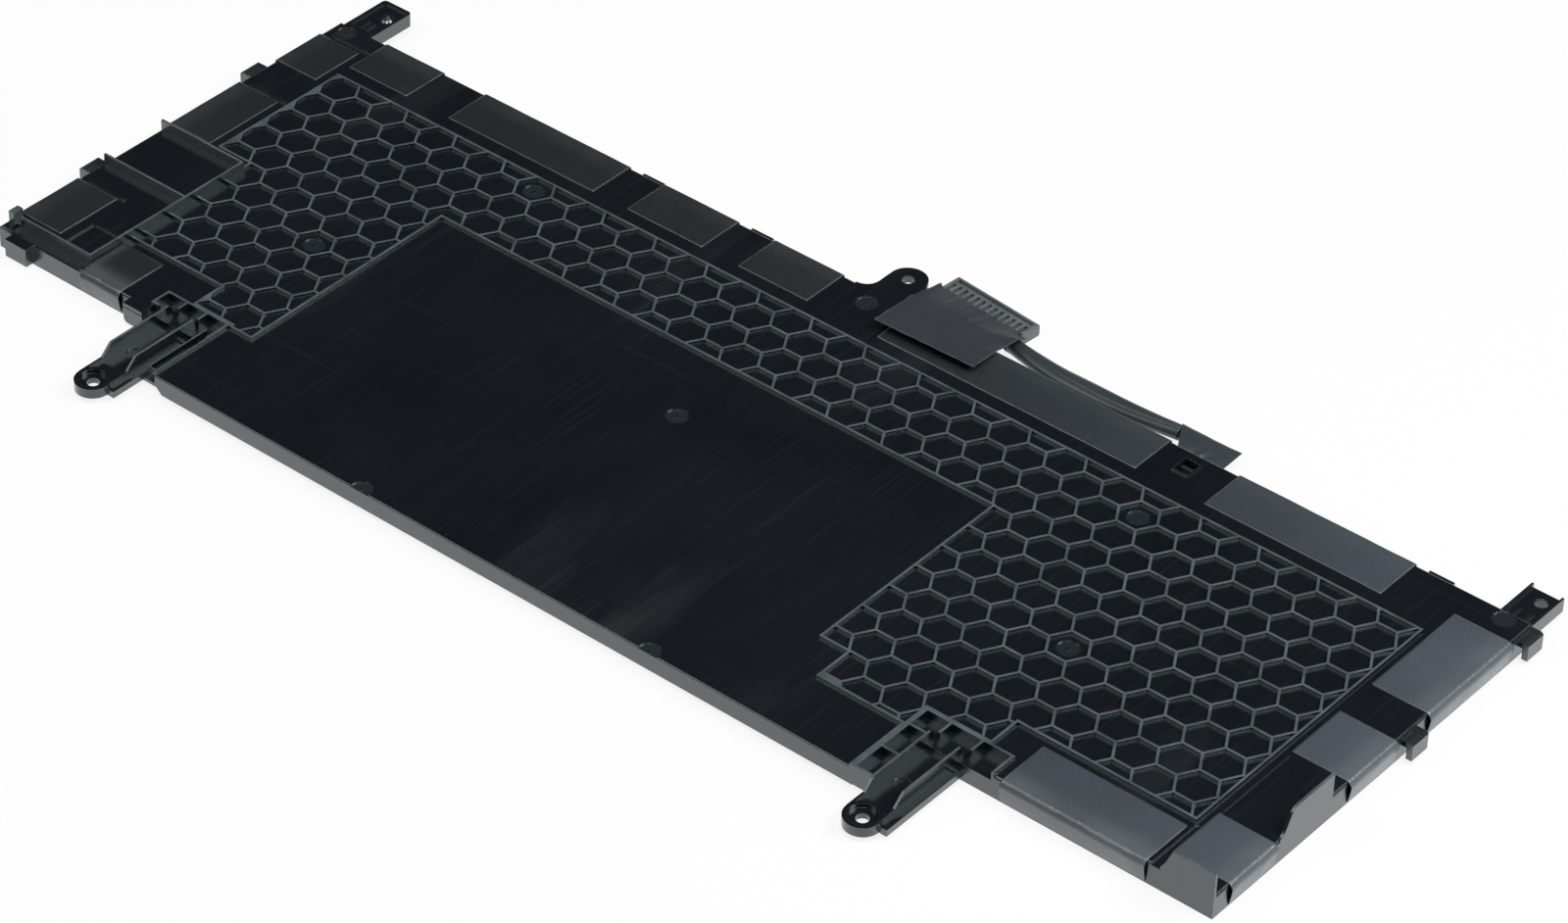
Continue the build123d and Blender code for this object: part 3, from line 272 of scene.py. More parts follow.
def plastic_highlights_and_marks(tree, plain, base):
    """Painted highlights on rib tops and edges, and paler sunk marks; edge highlights level with
    the plate stay faint.
    """
    # Rib tops: a painted highlight, laid on in patches.
    tops = combine(tree, "MULTIPLY", above(tree, *RIB_TOP_HEIGHTS), facing_up(tree, *UPWARD))
    patch = between(tree, noise(tree, plain, 180.0, 3.0), 0.3, 0.7, 0.45, 1.0)
    base = mix_colour(tree, combine(tree, "MULTIPLY", tops, patch), base, RIB_TOP_HIGHLIGHT_TONE)
    sunk = combine(tree, "MULTIPLY", above(tree, *BELOW_PLATE_HEIGHTS),
                   above(tree, *SUNK_MARK_HEIGHTS))
    sunk = combine(tree, "MULTIPLY", sunk, facing_up(tree, *UPWARD))
    base = mix_colour(tree, combine(tree, "MULTIPLY", sunk, 0.2), base, EDGE_HIGHLIGHT_AND_MARK_TONE)
    clear = combine(tree, "MAXIMUM", above(tree, *FREE_RIB_HEIGHTS),
                    above(tree, *BELOW_PLATE_HEIGHTS))
    # Edges: a painted highlight along every sharp edge, fainter where level with the plate.
    edges = combine(tree, "MULTIPLY", sharp_edges(tree, EDGE_WIDTH), patch)
    edges = combine(tree, "MULTIPLY", edges, between(tree, clear, 0.0, 1.0, 0.2, 0.85))
    return mix_colour(tree, edges, base, EDGE_HIGHLIGHT_AND_MARK_TONE)


def moulded_plastic():
    """Glossy blue-black plastic: painted highlights on rib tops and edges, streaks, smears, grain
    and dust.
    """
    finish, tree, shader = new_finish("moulded_plastic")
    plain = object_coordinates(tree)
    base, scratch, smear = wiped_plastic(tree, plain)
    base = plastic_highlights_and_marks(tree, plain, base)
    specks = dust_specks(tree, plain, 0.0052, 0.018, 0.16)
    base = mix_colour(tree, combine(tree, "MULTIPLY", specks, 0.7), base, PLASTIC_DUST_TONE)
    tree.links.new(base, shader.inputs["Base Color"])
    cloud = noise(tree, plain, 60.0, 4.0)
    rough = between(tree, cloud, 0.3, 0.7, 0.22, 0.32)
    rough = combine(tree, "ADD", rough, combine(tree, "MULTIPLY", smear, 0.5))
    tree.links.new(rough, shader.inputs["Roughness"])
    shader.inputs["Specular IOR Level"].default_value = 0.9
    shader.inputs["Specular Tint"].default_value = (0.90, 0.98, 1.0, 1.0)
    shader.inputs["Coat Tint"].default_value = COAT_TINT
    shader.inputs["Coat Weight"].default_value = 0.8
    shader.inputs["Coat Roughness"].default_value = 0.2
    grain = noise(tree, plain, 3200.0, 2.0)
    bump(tree, shader, combine(tree, "ADD", grain, combine(tree, "MULTIPLY", scratch, 0.5)),
         0.000012, 0.5, edge=0.00012)
    return finish


tray_finish = moulded_plastic()
print("finish", tray_finish.name)

# %% [markdown]
# ### The tape's film
# The tapes are thin satin polyester. They are dark at the left end and grey at the right, with
# a sparkle of fine grain, pale cut rims and painted highlights where they turn over an edge. The
# grey could be one colour per strip, but a tone that rises along the battery keeps neighbours
# alike. Rims and turns follow the strip, so they come from marks that the mesh holds.

# %% Finish of the tapes
TAPE_DARK = (0.0125, 0.0155, 0.0185)
TAPE_PALE = (0.075, 0.090, 0.109)
TAPE_RIM = (0.085, 0.095, 0.103)
TAPE_GRAIN_TONE = (0.15, 0.165, 0.18)
# Painted highlight for the dashes and band where the tape turns over an edge.
TAPE_CREST_HIGHLIGHT_TONE = (0.16, 0.175, 0.185)
TAPE_DUST_TONE = (0.36, 0.38, 0.40)
TONE_REACH = 0.14
TONE_POWER = 3.5


def stored(tree, mark):
    """A value that the mesh holds at each point."""
    return node(tree, "ShaderNodeAttribute", attribute_name=mark).outputs["Fac"]


def tape_film(name, low, high, blotch=0.0, coat=0.6, specular=0.9):
    """Satin polyester tape, paler towards the right end of the battery.

    The share of the pale tone is ((x + 0.14) / 0.28) ** 3.5, with x in metres. The cut rim is
    paler still, and where the tape turns over, painted highlight dashes lie on a painted sheen
    band.
    """
    finish, tree, shader = new_finish(name)
    plain = object_coordinates(tree)
    split = node(tree, "ShaderNodeSeparateXYZ")
    tree.links.new(plain, split.inputs[0])
    along = between(tree, split.outputs["X"], -TONE_REACH, TONE_REACH)
    share = combine(tree, "POWER", along, TONE_POWER)
    base = mix_colour(tree, share, low, high)
    slow = noise(tree, plain, 70.0, 3.0)
    base = mix_colour(tree, between(tree, slow, 0.35, 0.75, 0.0, 0.30 + blotch), base, (0, 0, 0))
    grain = noise(tree, plain, 5200.0, 3.0, 0.7)
    speckle = between(tree, grain, 0.52, 0.75, 0.0, 0.75)
    base = mix_colour(tree, combine(tree, "MULTIPLY", speckle, combine(tree, "ADD", share, 0.3)),
                      base, TAPE_GRAIN_TONE)
    patch = between(tree, noise(tree, plain, 300.0, 3.0), 0.35, 0.6, 0.35, 0.9)
    rim = combine(tree, "MULTIPLY", stored(tree, "rim"), patch)
    base = mix_colour(tree, rim, base, TAPE_RIM)
    # Painted highlight on the turn, read from the crinkle mark.
    base = mix_colour(tree, stored(tree, "crinkle"), base, TAPE_CREST_HIGHLIGHT_TONE)
    specks = dust_specks(tree, plain, 0.0048, 0.016, 0.13)
    base = mix_colour(tree, combine(tree, "MULTIPLY", specks, 0.7), base, TAPE_DUST_TONE)
    tree.links.new(base, shader.inputs["Base Color"])
    tree.links.new(between(tree, slow, 0.3, 0.7, 0.34, 0.46), shader.inputs["Roughness"])
    shader.inputs["Specular IOR Level"].default_value = specular
    shader.inputs["Coat Weight"].default_value = coat
    shader.inputs["Coat Roughness"].default_value = 0.28
    shader.inputs["Coat Tint"].default_value = COAT_TINT
    waves = noise(tree, plain, 420.0, 2.0)
    bump(tree, shader, combine(tree, "ADD", grain, combine(tree, "MULTIPLY", waves, 2.0)),
         0.000014, 0.5)
    return finish


tape_finish = tape_film("tape_film", TAPE_DARK, TAPE_PALE)
wrap_finish = tape_film("harness_tape", (0.034, 0.044, 0.050), (0.050, 0.062, 0.070),
                        blotch=0.2, coat=0.15, specular=0.6)
flap_finish = tape_film("flap_sheet", (0.032, 0.038, 0.046), (0.042, 0.050, 0.060),
                        coat=0.05, specular=0.35)
print("finishes", tape_finish.name, wrap_finish.name, flap_finish.name)

# %% [markdown]
# ### Everything inside
# Cells, nickel strips, the board with its chips, pads and films lie under the tray and hardly
# show, but the part is also looked at in pieces. Two close colours mixed by a noise, with the
# same noise as bump, are enough for each, so one helper makes them all.

# %% Finish of everything inside
def plain_finish(name, low, high, rough, metal=0.0, specular=0.5, scale=900.0, depth=0.00001,
                 stretch=(1, 1, 1)):
    """Two close colours mixed by noise, with a matching fine bump."""
    finish, tree, shader = new_finish(name)
    vector = object_coordinates(tree, stretch)
    cloud = noise(tree, vector, scale, 3.0)
    tree.links.new(mix_colour(tree, between(tree, cloud, 0.3, 0.7), low, high),
                   shader.inputs["Base Color"])
    tree.links.new(between(tree, cloud, 0.3, 0.7, rough * 0.85, rough * 1.15),
                   shader.inputs["Roughness"])
    shader.inputs["Metallic"].default_value = metal
    shader.inputs["Specular IOR Level"].default_value = specular
    bump(tree, shader, cloud, depth, 0.6)
    return finish


FINISHES = {
    "cell_pouch": plain_finish("pouch_foil", (0.50, 0.51, 0.53), (0.62, 0.63, 0.65), 0.34, 0.9,
                               scale=260.0, depth=0.00004),
    "nickel": plain_finish("nickel_strip", (0.44, 0.42, 0.38), (0.60, 0.58, 0.53), 0.3, 1.0,
                           stretch=(1, 12, 1)),
    "board": plain_finish("solder_mask", (0.003, 0.014, 0.009), (0.005, 0.020, 0.012), 0.35),
    "chips": plain_finish("chip_resin", (0.012, 0.012, 0.013), (0.022, 0.022, 0.023), 0.6),
    "bead": plain_finish("pale_ceramic", (0.50, 0.46, 0.38), (0.62, 0.58, 0.50), 0.5),
    "insulation": plain_finish("amber_film", (0.42, 0.20, 0.03), (0.55, 0.28, 0.05), 0.3),
    "adhesive": plain_finish("adhesive_pad", (0.62, 0.62, 0.60), (0.76, 0.76, 0.73), 0.7),
    "film": plain_finish("black_film", (0.012, 0.013, 0.015), (0.020, 0.021, 0.024), 0.42,
                         specular=0.35, scale=1800.0),
    "contacts": plain_finish("tinned_bronze", (0.60, 0.55, 0.46), (0.72, 0.68, 0.60), 0.28, 1.0),
}
FINISHES |= {"moulded_tray": tray_finish, "tape": tape_finish, "wrap_tape": wrap_finish,
             "flap": flap_finish}
print("finishes", sorted(FINISHES))

# %% [markdown]
# ### The plug and its wires
# The plug is milky nylon that lets a little light through, and its wires are glossy and of four
# colours. Nylon could be all glass-like, but a small share of transmission over a pale base
# keeps its milkiness. Each wire colour is one plain finish.

# %% Finish of the plug and its wires
def clear_plastic():
    """Milky see-through nylon of the plug."""
    finish, tree, shader = new_finish("milky_nylon")
    plain = object_coordinates(tree)
    cloud = noise(tree, plain, 260.0, 3.0)
    tree.links.new(mix_colour(tree, between(tree, cloud, 0.3, 0.7), (0.115, 0.132, 0.146),
                              (0.165, 0.187, 0.203)), shader.inputs["Base Color"])
    tree.links.new(between(tree, cloud, 0.3, 0.7, 0.18, 0.3), shader.inputs["Roughness"])
    shader.inputs["Transmission Weight"].default_value = 0.12
    shader.inputs["IOR"].default_value = 1.5
    bump(tree, shader, cloud, 0.00002, 0.5, edge=0.0001)
    return finish


FINISHES["connector"] = clear_plastic()
WIRE_TONES = {"black": (0.010, 0.011, 0.012), "red": (0.25, 0.016, 0.012),
              "white": (0.42, 0.43, 0.42), "blue": (0.02, 0.05, 0.12)}
WIRE_FINISHES = {name: plain_finish(f"wire_{name}", tone, [c * 1.25 for c in tone], 0.3)
                 for name, tone in WIRE_TONES.items()}
FINISHES["wires"] = WIRE_FINISHES["black"]
print("wire finishes", sorted(WIRE_FINISHES))

# %% [markdown]
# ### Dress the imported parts
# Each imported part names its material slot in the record, so a table from slot to finish dresses
# them all, and a part that is added later is dressed by its slot too.

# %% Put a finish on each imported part
SLOTS = {row["node"]: row["material_slot"] for row in frame["record"]["subparts"]}


def dress(name):
    """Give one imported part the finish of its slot."""
    coats = frame["nodes"][name].data.materials
    coats.clear()
    coats.append(FINISHES[SLOTS[name]])


for part_name in SLOTS:
    dress(part_name)
print("dressed", len(SLOTS), "parts")

# %% [markdown]
# ## Surfaces from whole arrays
# The soft pieces are remade as surfaces worked out with numpy: a grid of points and a list of
# faces. They could be modelled by hand too, but a formula keeps the measured sizes and gives the
# same result each time. Two helpers put such arrays into a mesh, or dress one that is there.

# %% Mesh helpers
def add_object(name, mesh, finish, smooth=True):
    """An object at the origin with one finish, its faces all smooth or all flat."""
    mesh.materials.clear()
    mesh.materials.append(finish)
    mesh.polygons.foreach_set("use_smooth", np.full(len(mesh.polygons), smooth))
    mesh.update()
    made = bpy.data.objects.new(name, mesh)
    bpy.context.collection.objects.link(made)
    return made


def add_mesh(name, points, faces, finish, smooth=True):
    """An object from an array of points in metres and a list of faces, each a list of points."""
    mesh = bpy.data.meshes.new(name)
    mesh.from_pydata(np.asarray(points).tolist(), [], faces)
    return add_object(name, mesh, finish, smooth)


print("mesh helpers ready")

# %% [markdown]
# ### Noise along a line
# Soft creases and ragged edges need values that wander smoothly. A sine would repeat itself,
# so random values are joined by smooth steps, from a table that a seed makes the same each run.
# A bell curve fades a crease out on both sides of a line.

# %% Noise and bells
NOISE_LENGTH = 4096


def smooth_noise(places, pitch, seed):
    """Random values from -1 to 1, one pitch apart, joined by the smooth step 3t^2 - 2t^3."""
    places = np.asarray(places, dtype=float) / pitch
    low = np.floor(places).astype(int)
    table = np.random.default_rng(seed).uniform(-1, 1, NOISE_LENGTH)
    t = places - low
    t = t * t * (3 - 2 * t)
    return table[low % NOISE_LENGTH] * (1 - t) + table[(low + 1) % NOISE_LENGTH] * t


def bell(places, middle, width):
    """A bell curve: 1 at the middle, and e to the minus ((place - middle) / width)^2 beside it."""
    return np.exp(-((places - middle) / width) ** 2)


wander = smooth_noise(np.linspace(0, 100, 1001), 1.0, 1)
print("noise from", round(float(wander.min()), 2), "to", round(float(wander.max()), 2))

# %% [markdown]
# ## The harness
# Thirteen thin wires lie in a bundle wrapped lengthwise in black tape. It leaves the wrap at
# the back edge, bows a little and ends at the plug. Arcs joined end to end would show where they
# meet, so its centre line is one smooth spline, pulled into shape by five control points.

# %% Route of the harness
HARNESS_ROUTE = ((60.6, 58.5), (51.0, 57.4), (41.4, 57.3), (31.0, 57.3), (21.8, 59.2))
HARNESS_HEIGHT = 1.7
ROUTE_STEPS = 24


def spline_mesh(name, route, steps, radius=0.0):
    """The mesh of a NURBS spline of order 3 whose control points are the route.

    With a radius it is a round tube with closed ends, and without one it is a bare line.
    """
    curve = bpy.data.curves.new(name, "CURVE")
    curve.dimensions = "3D"
    curve.resolution_u = steps
    if radius:
        curve.bevel_depth = radius * MM
        curve.bevel_resolution = 3
        curve.use_fill_caps = True
    spline = curve.splines.new("NURBS")
    spline.points.add(len(route) - 1)
    for point, (x, y, z) in zip(spline.points, route):
        point.co = (x * MM, y * MM, z * MM, 1.0)
    spline.order_u = 3
    spline.use_endpoint_u = True
    holder = bpy.data.objects.new(name, curve)
    mesh = bpy.data.meshes.new_from_object(holder)
    bpy.data.objects.remove(holder)
    bpy.data.curves.remove(curve)
    return mesh


def line_points(name, route, steps):
    """Points along the spline of a route."""
    line = spline_mesh(name, route, steps)
    points = np.empty(len(line.vertices) * 3)
    line.vertices.foreach_get("co", points)
    bpy.data.meshes.remove(line)
    return points.reshape(-1, 3)


harness_controls = [(x, y, HARNESS_HEIGHT) for x, y in HARNESS_ROUTE]
harness_line = line_points("harness_route", harness_controls, ROUTE_STEPS)

# %% [markdown]
# ### The harness's band
# Tape pulls the bundle into a flat oval that is widest half way along. A round tube would miss
# that, so ovals are set square to the line, ring by ring: half width times the cosine goes
# sideways and half height times the sine goes up. A sunk seam and a lap run along it.

# %% Tube of the harness
BAND_HALF_HEIGHT = 1.4
BAND_HALF_WIDTH = 1.5
BAND_SWELL = 0.7
BAND_STEP = 0.2
BAND_POINTS = 64
SEAM_DEPTH = 0.09
LAP_DEPTH = 0.03
CREASE_DEPTH = 0.03


def resample(points, step):
    """The same line with points an even step apart, and how far along the line each lies.

    A point's reach is the sum of the steps before it. A new point is mixed from the two old ones
    whose reaches lie on both sides of its own.
    """
    reach = np.concatenate([[0], np.cumsum(np.linalg.norm(np.diff(points, axis=0), axis=1))])
    places = np.linspace(0, reach[-1], int(reach[-1] / step) + 2)
    return np.stack([np.interp(places, reach, points[:, k]) for k in range(3)], axis=1), places


def tube_quads(rows, columns):
    """Faces of a tube of rings, the last point of each joined to its first, and point numbers."""
    index = np.arange(rows * columns).reshape(rows, columns)
    beside = np.roll(index, -1, axis=1)
    quads = np.stack([index[:-1], beside[:-1], beside[1:], index[1:]], axis=2)
    return quads.reshape(-1, 4).tolist(), index


def harness_tube(name, finish):
    """An oval band of wrapped wires, widest half way, with a lengthwise seam and soft creases.

    S is the distance along the line in millimetres and A the angle round it. The half width is
    its least value plus the swell times the sine of pi times the share of the way. Seam and lap
    are bell-shaped grooves at angles that drift slowly along the line.
    """
    line, places = resample(harness_line, BAND_STEP * MM)
    ahead = np.gradient(line, axis=0)
    ahead /= np.linalg.norm(ahead, axis=1, keepdims=True)
    side = np.cross(ahead, [0, 0, 1.0])
    side /= np.linalg.norm(side, axis=1, keepdims=True)
    up = np.cross(side, ahead)
    angle = np.linspace(0, 2 * np.pi, BAND_POINTS, endpoint=False)
    s, a = np.meshgrid(places / MM, angle, indexing="ij")
    share = s / s.max()
    wide = BAND_HALF_WIDTH + BAND_SWELL * np.sin(np.pi * share)
    seam = bell(a, 1.9 + 0.25 * np.sin(s / 9), 0.12)
    lap = bell(a, 1.25 + 0.3 * share, 0.07)
    crease = CREASE_DEPTH * smooth_noise(s + 0.8 * np.cos(a), 7.0, 9)
    press = (1 + crease - SEAM_DEPTH * seam - LAP_DEPTH * lap) * MM
    ring = line[:, None] + press[..., None] * (
        (wide * np.cos(a))[..., None] * side[:, None]
        + (BAND_HALF_HEIGHT * np.sin(a))[..., None] * up[:, None])
    quads, index = tube_quads(*a.shape)
    points = np.concatenate([ring.reshape(-1, 3), line[:1], line[-1:]])
    middle = np.full(BAND_POINTS, index.size)
    first = np.stack([np.roll(index[0], -1), index[0], middle], axis=1).tolist()
    last = np.stack([index[-1], np.roll(index[-1], -1), middle + 1], axis=1).tolist()
    return add_mesh(name, points, quads + first + last, finish), line


harness, harness_path = harness_tube("harness_bundle", wrap_finish)
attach(harness, "root")
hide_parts("harness_cable")
print("harness tube", len(harness.data.polygons), "faces")

# %% [markdown]
# ## Tape over the edges
# Tape on the right and front edges stands a little off the wall and is crinkled where it
# turns over. Tape on the back and left lies flat. A cloth simulation could press them on, but
# the folds are small and regular, so each strip is one profile carried along its edge, with a
# height that noise presses in and out. All lengths here are in millimetres.

# %% Tape profiles
PLATE_TOP = 4.75
TAPE_THICKNESS = 0.12
STRIP_THICKNESS = TAPE_THICKNESS * 0.9
TAPE_GAP = 0.02
TAPE_BEND = 0.45
CREST_RADIUS = 1.35
CREST_ANGLE = math.radians(80.0)
TAPE_FOOT = 0.35
TAPE_BOW = 0.05
TAPE_RIM_WIDTH = 0.3
EDGE_ROUND = 0.7


def arc(centre, radius, start, end, count=14):
    """Points on an arc, angles measured from straight up towards the outside."""
    angle = np.linspace(start, end, count)
    turn = np.stack([np.sin(angle), np.cos(angle)], axis=1)
    return np.array(centre) + radius * turn


def swelled_profile(run):
    """Outer line of a swelled tape: flat, round the crest, then nearly straight to its foot.

    The fall bows out by BOW sin(pi t), where t runs from 0 at the crest to 1 at the foot.
    """
    top = PLATE_TOP + TAPE_GAP
    centre = (-EDGE_ROUND, top - CREST_RADIUS)
    crest = arc(centre, CREST_RADIUS + TAPE_THICKNESS, 0, CREST_ANGLE)
    foot = np.array([TAPE_GAP + TAPE_THICKNESS, TAPE_FOOT])
    t = np.linspace(0, 1, 22)[1:, None]
    fall = foot - crest[-1]
    out = np.array([-fall[1], fall[0]]) / np.linalg.norm(fall)
    bow = crest[-1] + t * fall + TAPE_BOW * np.sin(np.pi * t) * out
    flat = np.stack([np.linspace(-run, centre[0], 24)[:-1],
                     np.full(23, top + TAPE_THICKNESS)], axis=1)
    return np.concatenate([flat, crest, bow])


def folded_profile(run, drop):
    """Outer line of a flat tape: flat, a small round turn, then straight down the wall."""
    top = PLATE_TOP + TAPE_GAP + TAPE_THICKNESS
    out = TAPE_GAP + TAPE_THICKNESS
    flat = np.stack([np.linspace(-run, out - TAPE_BEND, 30)[:-1], np.full(29, top)], axis=1)
    turn = arc((out - TAPE_BEND, top - TAPE_BEND), TAPE_BEND, 0, math.pi / 2, 8)
    fall = np.linspace(top - TAPE_BEND, top - TAPE_THICKNESS - drop, 9)[1:]
    down = np.stack([np.full(8, out), fall], axis=1)
    return np.concatenate([flat, turn, down])


print("profiles", swelled_profile(11.6).shape, folded_profile(10.9, 3.6).shape)

# %% [markdown]
# ### Crinkles and marks
# Where tape turns over an edge it gathers into short ridges and longer folds. Two noises of
# different pitch, each faded out away from the turn, give both. The same grid gets the marks
# that the finish reads: its rim, and painted highlight dashes on a painted sheen band at the turn.

# %% Grid of one strip
TAPE_STEP = 0.2
RIDGE_DEPTH = 0.10
FOLD_DEPTH = 0.11
CREST_LIFT = 0.05
FLAT_WAVE = 0.03


def tape_grid(profile, start, end, seed, crinkle, outward, along, origin):
    """The profile carried along an edge, with crinkles deepest at the turn, and its two marks.

    S is the distance along the edge, and T the distance across it, 0 at the turn. Past the turn
    the tape is free and is pressed in, and before it the tape only waves and lifts. The rim mark
    is 1 on the strip's border and 0 a rim's width inside it. The crinkle mark is painted
    highlight:
    short dashes on the turn, where a wave along the edge stands high, over a soft painted sheen
    band.
    """
    count = max(8, int((end - start) / TAPE_STEP))
    s = np.linspace(start, end, count)
    reach = np.concatenate([[0], np.cumsum(np.linalg.norm(np.diff(profile, axis=0), axis=1))])
    bend = reach[np.argmax(profile[:, 0] > -EDGE_ROUND * 0.6)]
    slope = np.gradient(profile, axis=0)
    slope /= np.linalg.norm(slope, axis=1, keepdims=True)
    inward = np.stack([slope[:, 1], -slope[:, 0]], axis=1)
    S, T = np.meshgrid(s, reach - bend, indexing="ij")
    broad = 1 / (1 + np.exp(-(T + 2.2) / 0.9))
    ridges = np.abs(smooth_noise(S + 0.25 * T, 0.55, seed)) * bell(T, 0, 0.9)
    folds = (0.5 + 0.5 * smooth_noise(S - 0.5 * T, 2.6, seed + 1)) * broad
    free = 1 / (1 + np.exp(-(T - 0.7) / 0.12))
    press = crinkle * (RIDGE_DEPTH * ridges + FOLD_DEPTH * folds) * free
    press -= FLAT_WAVE * (1 + smooth_noise(S + 2 * T, 5.0, seed + 2)) * (1 - free)
    press -= CREST_LIFT * crinkle * ridges * (1 - free)
    edge = np.minimum(S - start, end - S)
    press *= 1 - bell(edge, 0, 0.25)
    q = profile[None, :, 0] + press * inward[None, :, 0]
    z = profile[None, :, 1] + press * inward[None, :, 1]
    outward, along, origin = (np.asarray(v, dtype=float) for v in (outward, along, origin))
    grid = origin + q[..., None] * outward + S[..., None] * along
    grid[..., 2] += z
    border = np.minimum(edge, T + bend)
    # Painted highlight: short dashes on the turn, and a soft painted sheen band under them.
    dashes = np.clip(4 * smooth_noise(S, 0.6, seed + 3) - 1.4, 0, 1)
    crest_highlight_band = 0.45 * (0.7 + 0.3 * smooth_noise(S, 4.0, seed + 4)) * bell(T, -0.8, 2.3)
    lines = dashes * bell(T, 0.35, 0.13)
    marks = {"rim": np.clip(1.6 - 1.6 * border / TAPE_RIM_WIDTH, 0, 1),
             "crinkle": np.clip(crinkle * np.maximum(lines, crest_highlight_band), 0, 1)}
    return grid, marks


print("crinkles ready")

# %% [markdown]
# ### A strip as a thin shell
# A cut strip shows its edge, so it needs a thickness. A Solidify modifier could give it one, but
# a helper that works out the inner face itself also stores the same marks on both faces. Each
# strip is then a closed shell: an outer grid, an inner grid, and a narrow band that joins them.

# %% Thin shells
def grid_quads(rows, columns, start=0, flip=False):
    """Faces of a grid whose points are numbered row by row.

    A face goes from a point to the one below it, the one beside that, and the one beside the
    first. Flipped faces go the other way round and so look the other way.
    """
    i, j = np.meshgrid(np.arange(rows - 1), np.arange(columns - 1), indexing="ij")
    a = (start + i * columns + j).ravel()
    quads = np.stack([a, a + columns, a + columns + 1, a + 1], axis=1)
    return quads[:, ::-1] if flip else quads


def shell_quads(rows, columns):
    """Faces of a closed thin shell: an outer grid, an inner grid and the strip between."""
    count = rows * columns
    index = np.arange(count).reshape(rows, columns)
    rim = np.concatenate([index[0, :-1], index[:-1, -1], index[-1, :0:-1], index[:0:-1, 0]])
    after = np.roll(rim, -1)
    side = np.stack([rim, after, after + count, rim + count], axis=1)
    inner = grid_quads(rows, columns, count, True)
    return np.concatenate([grid_quads(rows, columns), inner, side]).tolist()


def grid_normals(grid):
    """Unit normals of a grid: the cross product of its two slopes, divided by its length."""
    normal = np.cross(np.gradient(grid, axis=0), np.gradient(grid, axis=1))
    return normal / np.linalg.norm(normal, axis=2, keepdims=True)


def add_shell(name, grid, thickness, finish, marks):
    """A thin closed shell: the grid is its outer face, and its inner face lies under it.

    Each mark is a value per grid point, stored on both faces for the finish to read.
    """
    inner = grid - thickness * grid_normals(grid)
    points = np.concatenate([grid.reshape(-1, 3), inner.reshape(-1, 3)])
    shell = add_mesh(name, points * MM, shell_quads(*grid.shape[:2]), finish)
    for mark, values in marks.items():
        store = shell.data.attributes.new(mark, "FLOAT", "POINT")
        store.data.foreach_set("value", np.tile(np.asarray(values, dtype=float).ravel(), 2))
    return shell


print("a shell of 3 by 4 points has", len(shell_quads(3, 4)), "faces")

# %% [markdown]
# ### Where the strips lie
# Fourteen strips hold the cells and films to the tray, six at the back, three at each side and
# two in front. Each is given as its start and end along its edge. A side's row also holds the
# profile, the directions outwards and along the edge, the corner where it starts, and how
# crinkled its strips are.

# %% Lay every tape
RIGHT_EDGE = 140.15
BACK_EDGE = 52.3
FRONT_EDGE = -39.9
TAPE_PLACES = {
    "back": (((12.4, 27.5), (38.4, 75.4), (83.8, 102.3), (111.1, 127.7), (144.3, 203.1),
              (218.2, 256.0)), folded_profile(10.9, 3.6), (0, 1, 0), (1, 0, 0),
             (-RIGHT_EDGE, BACK_EDGE, 0), 0.25),
    "left": (((6.1, 18.4), (28.5, 47.4), (71.8, 86.7)), folded_profile(10.6, 3.6), (-1, 0, 0),
             (0, -1, 0), (-RIGHT_EDGE, BACK_EDGE, 0), 0.25),
    "right": (((6.9, 31.7), (40.9, 54.7), (75.1, 87.9)), swelled_profile(11.6), (1, 0, 0),
              (0, -1, 0), (RIGHT_EDGE, BACK_EDGE, 0), 1.0),
    "front": (((21.8, 31.9), (236.9, 266.8)), swelled_profile(11.2), (0, -1, 0), (1, 0, 0),
              (-RIGHT_EDGE, FRONT_EDGE, 0), 1.0),
}


def lay_tape(side, number, span, profile, outward, along, origin, crinkle):
    """One strip of tape in place of its plain part, with its faces turned outwards.

    The seed joins the side and the number, so that no two strips are crinkled alike.
    """
    seed = 40 + 7 * number + 31 * len(side) + ord(side[0])
    grid, marks = tape_grid(profile, *span, seed, crinkle, outward, along, origin)
    if grid_normals(grid)[0, 0, 2] < 0:
        grid = grid[::-1]
        marks = {mark: values[::-1] for mark, values in marks.items()}
    strip = add_shell(f"{side}_tape_{number}_strip", grid, STRIP_THICKNESS, tape_finish, marks)
    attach(strip, "root")
    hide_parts(f"{side}_tape_{number}")
    return len(strip.data.polygons)


for side, (spans, profile, outward, along, origin, crinkle) in TAPE_PLACES.items():
    faces = [lay_tape(side, number, span, profile, outward, along, origin, crinkle)
             for number, span in enumerate(spans, 1)]
    print(side, "tapes", faces)

# %% [markdown]
# ## The folded wrap
# At its right end the harness is held by one folded piece of tape. It is a flattened tube: full
# where the wires enter, pinched flat at its far end, with crescent folds between. Crushing a
# tube with a cloth simulation would put the folds anywhere, while sections that are worked out
# one by one keep the outline of the real piece, with folds on rings round its far corner.

# %% The folded wrap
WRAP_ENTRY = ((63.6, 53.3), (59.7, 60.3))
WRAP_END = ((73.3, 53.5), (73.15, 59.9))
WRAP_LEVELS = (0.25, 3.25)
WRAP_PINCH = 2.75
WRAP_TONGUE = ((60.95, 72.9), (52.34, 53.1), (0.03, 3.2))
WRAP_TAPER = 1.6
WRAP_SEAM_HALF = 0.08
WRAP_FOLD_CENTRE = (76.0, 51.0)
WRAP_FOLD_RING = 7.5
WRAP_FOLD_DEPTH = 0.12
TONGUE_FACES = ((0, 1, 3, 2), (4, 6, 7, 5), (0, 4, 5, 1), (2, 3, 7, 6), (0, 2, 6, 4),
                (1, 5, 7, 3))


